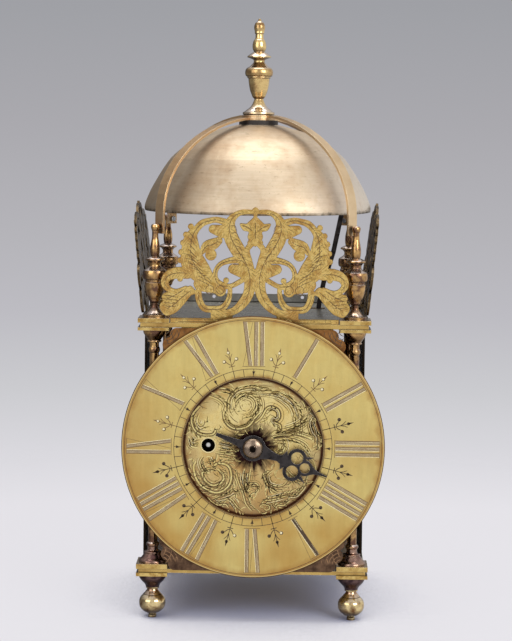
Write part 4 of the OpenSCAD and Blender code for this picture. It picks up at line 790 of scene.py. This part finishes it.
def cut_stem(line, side, bold, kind, upper):
    """A stem: its cut or two edges, the brass scraped away beside it and drawn pale as a painted highlight,
    and finer lines inside its bend, some with a painted highlight beside them.
    """
    if bold:
        engrave("pared_light", line, 1.7, 0.3)
        for gap in (-0.85, 0.85):
            engrave("dark", beside(line, gap), 0.7, 0.3)
    else:
        engrave("dark", line, 0.75 if kind == "dark" else 0.62, 0.15)
    for gap in (-0.75, 1.9) if upper else (-0.75,):
        engrave("pared_light", beside(line, gap * side), 0.95 if upper else 0.6, 0.2)
    for gap, share, wide in ((1.3, 0.85, 0.46), (2.6, 0.6, 0.4), (-1.5, 0.6, 0.4))[bold:]:
        count = max(int(len(line) * share), 3)
        first = (len(line) - count) // 2
        near = beside(line[first:first + count], -gap * side)
        engrave("olive" if gap > 2 else kind, near, wide, 0.15)
        shine = beside(near, 0.42)
        if len(shine) > 2 and chance.random() < 0.25:
            engrave("light", shine, 0.24, 0.15)


def cut_leaves(line, side, bold, kind):
    """Short curved cuts that spring from the outer side of a stem."""
    step = 0.0
    for a, b in zip(line[:-1], line[1:]):
        step += (b - a).length
        if step < 2.6:
            continue
        step = 0.0
        along = (b - a).normalized()
        out = Vector((-along.y, along.x)) * side
        length = chance.uniform(3.0, 5.6)
        base = a + out * (1.2 if bold else 0.3)
        leaf = [base, base + out * length * 0.3 + along * length * 0.4,
                base + out * length * 0.36 + along * length * 1.05]
        leaf = [p for p in curve(leaf, 4) if inside(p)]
        engrave(kind, leaf, 0.5, 0.1)
        # A painted highlight beside each leaf
        engrave("pared_light", [p + Vector((0.5, -0.25)) for p in leaf], 0.8, 0.1)


def cut_shell(centre, first, last, start, stop):
    """Rings of broken arcs round centre, from radius first to last and from angle start to stop."""
    r = first
    while r < last:
        turn = start
        while turn < stop:
            sweep = chance.uniform(18, 55)
            angles = [math.radians(turn + sweep * k / 6) for k in range(7)]
            arc = [Vector(centre) + Vector((math.cos(a), math.sin(a))) * r for a in angles]
            arc = [p for p in arc if inside(p)]
            if len(arc) > 2 and chance.random() < 0.7:
                # Some arcs are drawn pale as painted highlights
                engrave(chance.choice(("dark", "olive", "pared_light")), arc, 0.5, 0.15)
            turn += sweep + chance.uniform(4, 14)
        r += 1.4


def cut_ground():
    """One short cut of the broken ground between the stems, which follows a slow swirl."""
    r = REACH * math.sqrt(chance.uniform(0.06, 1))
    a = chance.uniform(0, 2 * math.pi)
    p = Vector((r * math.cos(a), r * math.sin(a)))
    turn = noise.noise(Vector((p.x, p.y, 3)) * 0.06) * 9
    ahead = Vector((math.cos(turn), math.sin(turn)))
    bend = Vector((-ahead.y, ahead.x)) * chance.uniform(-0.8, 0.8)
    short = [q for q in curve([p, p + ahead * 2.0 + bend, p + ahead * 4.0], 3) if inside(q)]
    if len(short) > 2:
        # Some cuts of the ground are drawn pale as painted highlights
        kind = "pared_light" if chance.random() < 0.4 else tone(p)
        engrave(kind, short, 0.6 if kind == "pared_light" else 0.32, 0.1)


for index, (side, points) in enumerate(stems):
    line = [p for p in curve(points, 7) if inside(p)]
    if len(line) > 2:
        half_way = line[len(line) // 2]
        cut_stem(line, side, index in BOLD, tone(half_way), half_way.y > -3)
        cut_leaves(line, side, index in BOLD, tone(half_way))
# Shells fill the eyes of the larger scrolls
cut_shell((-4.9, 26.7), 2.2, 13, 0, 360)
cut_shell((6, 14), 17, 28, -15, 105)
cut_shell((-26, -19), 4, 11, 0, 360)
cut_shell((19, -27), 4, 12, 120, 420)
for k in range(300):
    cut_ground()
for depth, (kind, wax) in enumerate((("pared_light", pared_highlight_brass), ("olive", olive_shade), ("dark", centre_wax),
                                     ("light", burr_highlight_brass))):
    flat_piece("centre_%s_cuts" % kind, shades[kind], on_dial(plate_front - (0.01 + 0.01 * depth) * MM),
               "frame", wax)

# Corners of the front plate: a leaf in each, its veins running out from the ring, and rows of
# arcs across it. The cuts are dark in the upper corners and bare brass in the blackened lower ones.
PLATE_HALF, PLATE_TALL, RING_EDGE = 57.5, 75.0, 84.2


def in_corner(p):
    """Whether p lies on the front plate outside the ring."""
    return abs(p.x) < PLATE_HALF and abs(p.y) < PLATE_TALL and p.length > RING_EDGE


def corner_leaf(sx, sz):
    """The cuts of the corner to the right (sx = 1) or left and above (sz = 1) or below."""
    cuts = []
    for k in range(12):
        a = math.radians(36 + k * 2.8)
        outward = Vector((math.cos(a) * sx, math.sin(a) * sz))
        near = outward * (RING_EDGE + 0.2)
        far = near + outward * 12
        bend = Vector((-math.sin(a) * sx, math.cos(a) * sz)) * 2
        vein = [p for p in curve([near, (near + far) / 2 + bend, far], 5) if in_corner(p)]
        if len(vein) > 2:
            cuts += stroke(vein, 0.42, 0.2)
    for row in range(6):
        r = 3.5 + 2.2 * row
        angles = [math.radians(5 + 10 * k) for k in range(9)]
        arc = [Vector(((PLATE_HALF - 0.5 - r * math.cos(t)) * sx, (PLATE_TALL - r * math.sin(t)) * sz))
               for t in angles]
        arc = [p for p in arc if in_corner(p)]
        if len(arc) > 2:
            cuts += stroke(arc, 0.45, 0.2)
    return cuts


for sz, word, wax in ((1, "upper", black_wax), (-1, "lower", corner_brass)):
    flat_piece(word + "_corner_leaves", corner_leaf(-1, sz) + corner_leaf(1, sz),
               on_dial(plate_front - 0.015 * MM), "frame", wax)

# Engraved frets
# The same stems as the sawn pattern, in hundredths of the half width and the height
fret_veins = [
    [(-12, 95), (-19, 94), (-25, 89), (-27, 81), (-24, 72), (-17, 62), (-10, 53), (-6, 44), (-5, 34),
     (-7, 25), (-13, 17), (-21, 11)],
    [(-31, 87), (-40, 89), (-48, 88), (-55, 86), (-61, 81), (-65, 75), (-67, 66), (-66, 56),
     (-60, 47), (-52, 39)],
    [(-56, 60), (-51, 66), (-44, 68), (-38, 71)],
    [(-18, 55), (-27, 54), (-36, 51), (-41, 45), (-41, 38), (-36, 33), (-26, 32)],
    [(-59, 27), (-58, 20), (-53, 13), (-44, 12), (-34, 13), (-28, 19), (-26, 26)],
    [(-70, 43), (-82, 43), (-91, 40), (-94, 34), (-90, 29)],
    [(-67, 28), (-76, 22), (-84, 16), (-92, 12)], [(-74, 29), (-83, 24), (-93, 20)], [(0, 88), (0, 72)],
    [(-3, 80), (-8, 83), (-14, 85)]]
leaf_veins = [
    [(-70, 79 - 5 * k), (-66, 76 - 5 * k), (-62 + 0.6 * k, 71 - 5 * k)] for k in range(6)] + [
    [(-75 + 2 * k, 60 - 4 * k), (-66 + 2 * k, 58 - 4 * k), (-58 + 2 * k, 52 - 4 * k)] for k in range(4)] + [
    [(-60, 44 - 3 * k), (-52, 41 - 3 * k), (-45, 36 - 2 * k)] for k in range(3)] + [
    [(-97, 24 - 3 * k), (-88, 23 - 3 * k), (-80, 22 - 2.4 * k)] for k in range(4)] + [
    [(-26 + 1.2 * k, 84 - 6 * k), (-21 + 1.6 * k, 84 - 6 * k), (-19 + 2 * k, 79 - 6 * k)] for k in range(6)]
# Half a fret's width and its height, in millimetres, and how far it leans out
FRET_HALF, FRET_TALL, LEAN = 60.6, 74.6, math.radians(6.5)
foot_y = top_plate_low.y + 0.1 * MM
centre_y = (top_plate_low.y + top_plate_high.y) / 2


def on_fret(turn, lift_mm=0.02):
    """Points of a fret's outer face, for the fret that stands turn degrees round the clock."""
    spin = Matrix.Rotation(math.radians(turn), 4, "Z")
    away = Vector((0, -math.cos(LEAN), -math.sin(LEAN))) * lift_mm * MM

    def place(u, v):
        up = v / 100 * FRET_TALL * MM
        local = Vector((u / 100 * FRET_HALF * MM, foot_y - centre_y - up * math.sin(LEAN),
                        deck + 0.1 * MM + up * math.cos(LEAN))) + away
        return (spin @ local) + Vector((0, centre_y, 0))
    return place


veins, hair = [], []
for side in (-1, 1):
    for line in fret_veins:
        veins += stroke([(p.x * side, p.y) for p in curve(line, 6)], 0.75, 0.3)
    for line in leaf_veins:
        hair += stroke([(p.x * side, p.y) for p in curve(line, 5)], 0.6, 0.2)
    for u in (-47, -36):
        ring = [(u * side + 4.3 * math.cos(t), 29 + 3.7 * math.sin(t))
                for t in (2 * math.pi * k / 20 for k in range(21))]
        hair += stroke(ring, 0.6, 1)
veins += stroke([(-80, 1.2), (80, 1.2)], 0.5, 1) + stroke([(-80, 3.2), (80, 3.2)], 0.35, 1)
for name, turn in (("fret_front", 0), ("fret_left", -90), ("fret_right", 90)):
    flat_piece(name + "_veins", veins + hair, on_fret(turn), "frame",
               black_wax if turn else fret_wax)

# Hatching of the front fret: short cuts that slant off the stems, only where there is sheet
sheet = nodes["fret_front"].data
sheet_tree = BVHTree.FromPolygons([v.co for v in sheet.vertices], [f.vertices for f in sheet.polygons])
face = on_fret(0)
SLANT = math.radians(38)
# Places along the stems, each with the way that the stem runs there
paths = []
for side in (-1, 1):
    for line in fret_veins:
        points = curve(line, 4)
        for here, ahead in zip(points[:-1], points[1:]):
            run = (ahead - here).normalized()
            paths.append((Vector((here.x * side, here.y)), Vector((run.x * side, run.y))))


def on_sheet(p):
    """Whether the fret has metal at p, or is sawn out there."""
    return sheet_tree.find_nearest(face(p.x, p.y))[3] < 0.12 * MM


fine_cuts, fine_lights = [], []
graver = random.Random(23)
for row in range(2, 98):
    for column in range(-98, 99, 2):
        p = Vector((column + graver.uniform(-0.8, 0.8), row + graver.uniform(-0.4, 0.4)))
        if (row + column // 2) % 3 or not on_sheet(p):
            continue
        root, along = min(paths, key=lambda path: (path[0] - p).length_squared)
        aside = (p - root).x * along.y - (p - root).y * along.x
        slant = SLANT if aside > 0 else -SLANT
        way = Vector((along.x * math.cos(slant) + along.y * math.sin(slant),
                      -along.x * math.sin(slant) + along.y * math.cos(slant)))
        long = graver.uniform(2.2, 4.4)
        ends = [p - way * long / 2, p, p + way * long / 2]
        if not (on_sheet(ends[0]) and on_sheet(ends[2])):
            continue
        # Most strokes are the darker cuts; the rest are painted highlights
        if graver.random() < 0.72:
            fine_cuts += stroke(ends, 0.42, 0.3)
        else:
            fine_lights += stroke(ends, 0.5, 0.3)
flat_piece("fret_front_hatching", fine_cuts, on_fret(0, 0.03), "frame", hatch_brass)
flat_piece("fret_front_highlights", fine_lights, on_fret(0, 0.035), "frame", hatch_highlight_brass)


# Stage, lights and camera
def mix_shaders(share, first, second):
    return add(tree_of(share), "MixShader", inputs={0: share, 1: first, 2: second}).outputs[0]


def lay_floor():
    """White paper, a matt card that is cooler in the shade under the clock and fades out into
    the backdrop, both far off and where nothing shades it."""
    paper, tree, out = blank("white_paper_sweep")
    place = add(tree, "TexCoord").outputs["Object"]
    length = vectors("LENGTH", place)["Value"]
    fade = add(tree, "MapRange", {"interpolation_type": "SMOOTHSTEP"},
               {"Value": length, "From Min": 0.25, "From Max": 0.62}).outputs["Result"]
    under = add(tree, "AmbientOcclusion", {"samples": 8}, {"Distance": 0.12}).outputs["AO"]
    cool = ramp(under, [(0.2, "#A2AACE"), (0.9, "#E9E7EB")])
    card = add(tree, "BsdfPrincipled", inputs={"Base Color": cool, "Roughness": 0.45,
                                               "Specular IOR Level": 0.3})
    clear = add(tree, "BsdfTransparent")
    away = maths("MAXIMUM", fade, ramp(under, [(0.36, 0.0), (0.72, 0.88)]))
    shown = mix_shaders(away, card.outputs[0], clear.outputs[0])
    tree.links.new(shown, out.inputs["Surface"])
    reach = 0.7
    corners = [(-reach, -reach, 0), (reach, -reach, 0), (reach, reach, 0), (-reach, reach, 0)]
    sweep = sheet_of("floor_sweep", corners, [(0, 1, 2, 3)], paper)


def paint_room():
    """The backdrop is a plain graded grey, white towards the floor. What the metal mirrors is a
    room that is bright in front, above and on the right."""
    world = bpy.data.worlds.new("studio")
    bpy.context.scene.world = world
    world.use_nodes = True
    tree = world.node_tree
    tree.nodes.clear()
    around = add(tree, "TexCoord").outputs["Generated"]
    x, y, z = (axis(around, letter) for letter in "XYZ")
    seen = ramp(scaled(z, -0.25, 0.25), [
        (0.0, "#E7E5EA"), (0.10, "#E6E4E9"), (0.16, "#D8D7DC"), (0.22, "#CBCBCF"), (0.30, "#BDBCC2"),
        (0.38, "#B5B4B9"), (0.50, "#AAA9AE"), (0.63, "#9FA0A5"), (1.0, "#96979C")])
    mirrored = mix(scaled(y, 0.35, -0.75), "#5A5B60", "#E4E4E6")
    mirrored = mix(scaled(x, -0.55, -0.95), mirrored, "#86868C")
    mirrored = mix(scaled(x, -0.2, 0.8), mirrored, "#ECECEE")
    mirrored = mix(scaled(z, 0.3, 0.85), mirrored, "#DCDADC")
    rays = add(tree, "LightPath").outputs
    soft, sharp, plain = (
        add(tree, "Background", inputs={"Color": tint, "Strength": strength}).outputs[0]
        for tint, strength in ((colour("#E6E8EC"), 0.55), (mirrored, 1.0), (seen, 1.0)))
    lit = mix_shaders(rays["Is Glossy Ray"], soft, sharp)
    shown = mix_shaders(rays["Is Camera Ray"], lit, plain)
    tree.links.new(shown, add(tree, "OutputWorld").inputs["Surface"])


def soft_box(name, place, size, watts, target=(0, 0, 0.2)):
    """A square studio light that points at the target."""
    lamp = bpy.data.lights.new(name, "AREA")
    lamp.shape = "SQUARE"
    lamp.size = size
    lamp.energy = watts
    made = placed(name, lamp)
    made.location = place
    made.rotation_euler = (Vector(target) - Vector(place)).to_track_quat("-Z", "Y").to_euler()


def aim_camera():
    """The photograph's view, from a little right of the clock and above it."""
    lens = bpy.data.cameras.new("camera")
    lens.sensor_fit = "VERTICAL"
    lens.sensor_height = 36
    lens.lens = 105.2
    lens.shift_y = -0.12
    eye = placed("camera", lens)
    stand = Vector((20, -1248.1, 317.6)) * MM
    pan, tilt_down, roll = (math.radians(angle) for angle in (0.95, 3.64, 0.65))
    eye.matrix_world = (Matrix.Translation(stand) @ Matrix.Rotation(pan, 4, "Z")
                        @ Matrix.Rotation(math.radians(90) - tilt_down, 4, "X")
                        @ Matrix.Rotation(roll, 4, "Z"))
    bpy.context.scene.camera = eye


lay_floor()
paint_room()
soft_box("key_light", (0.95, -1.2, 0.85), 0.9, 14)
soft_box("fill_light", (-1.0, -1.2, 0.8), 1.2, 8)
soft_box("top_light", (0.0, 0.1, 1.4), 1.0, 9)
aim_camera()
bpy.context.scene.view_settings.view_transform = "Standard"
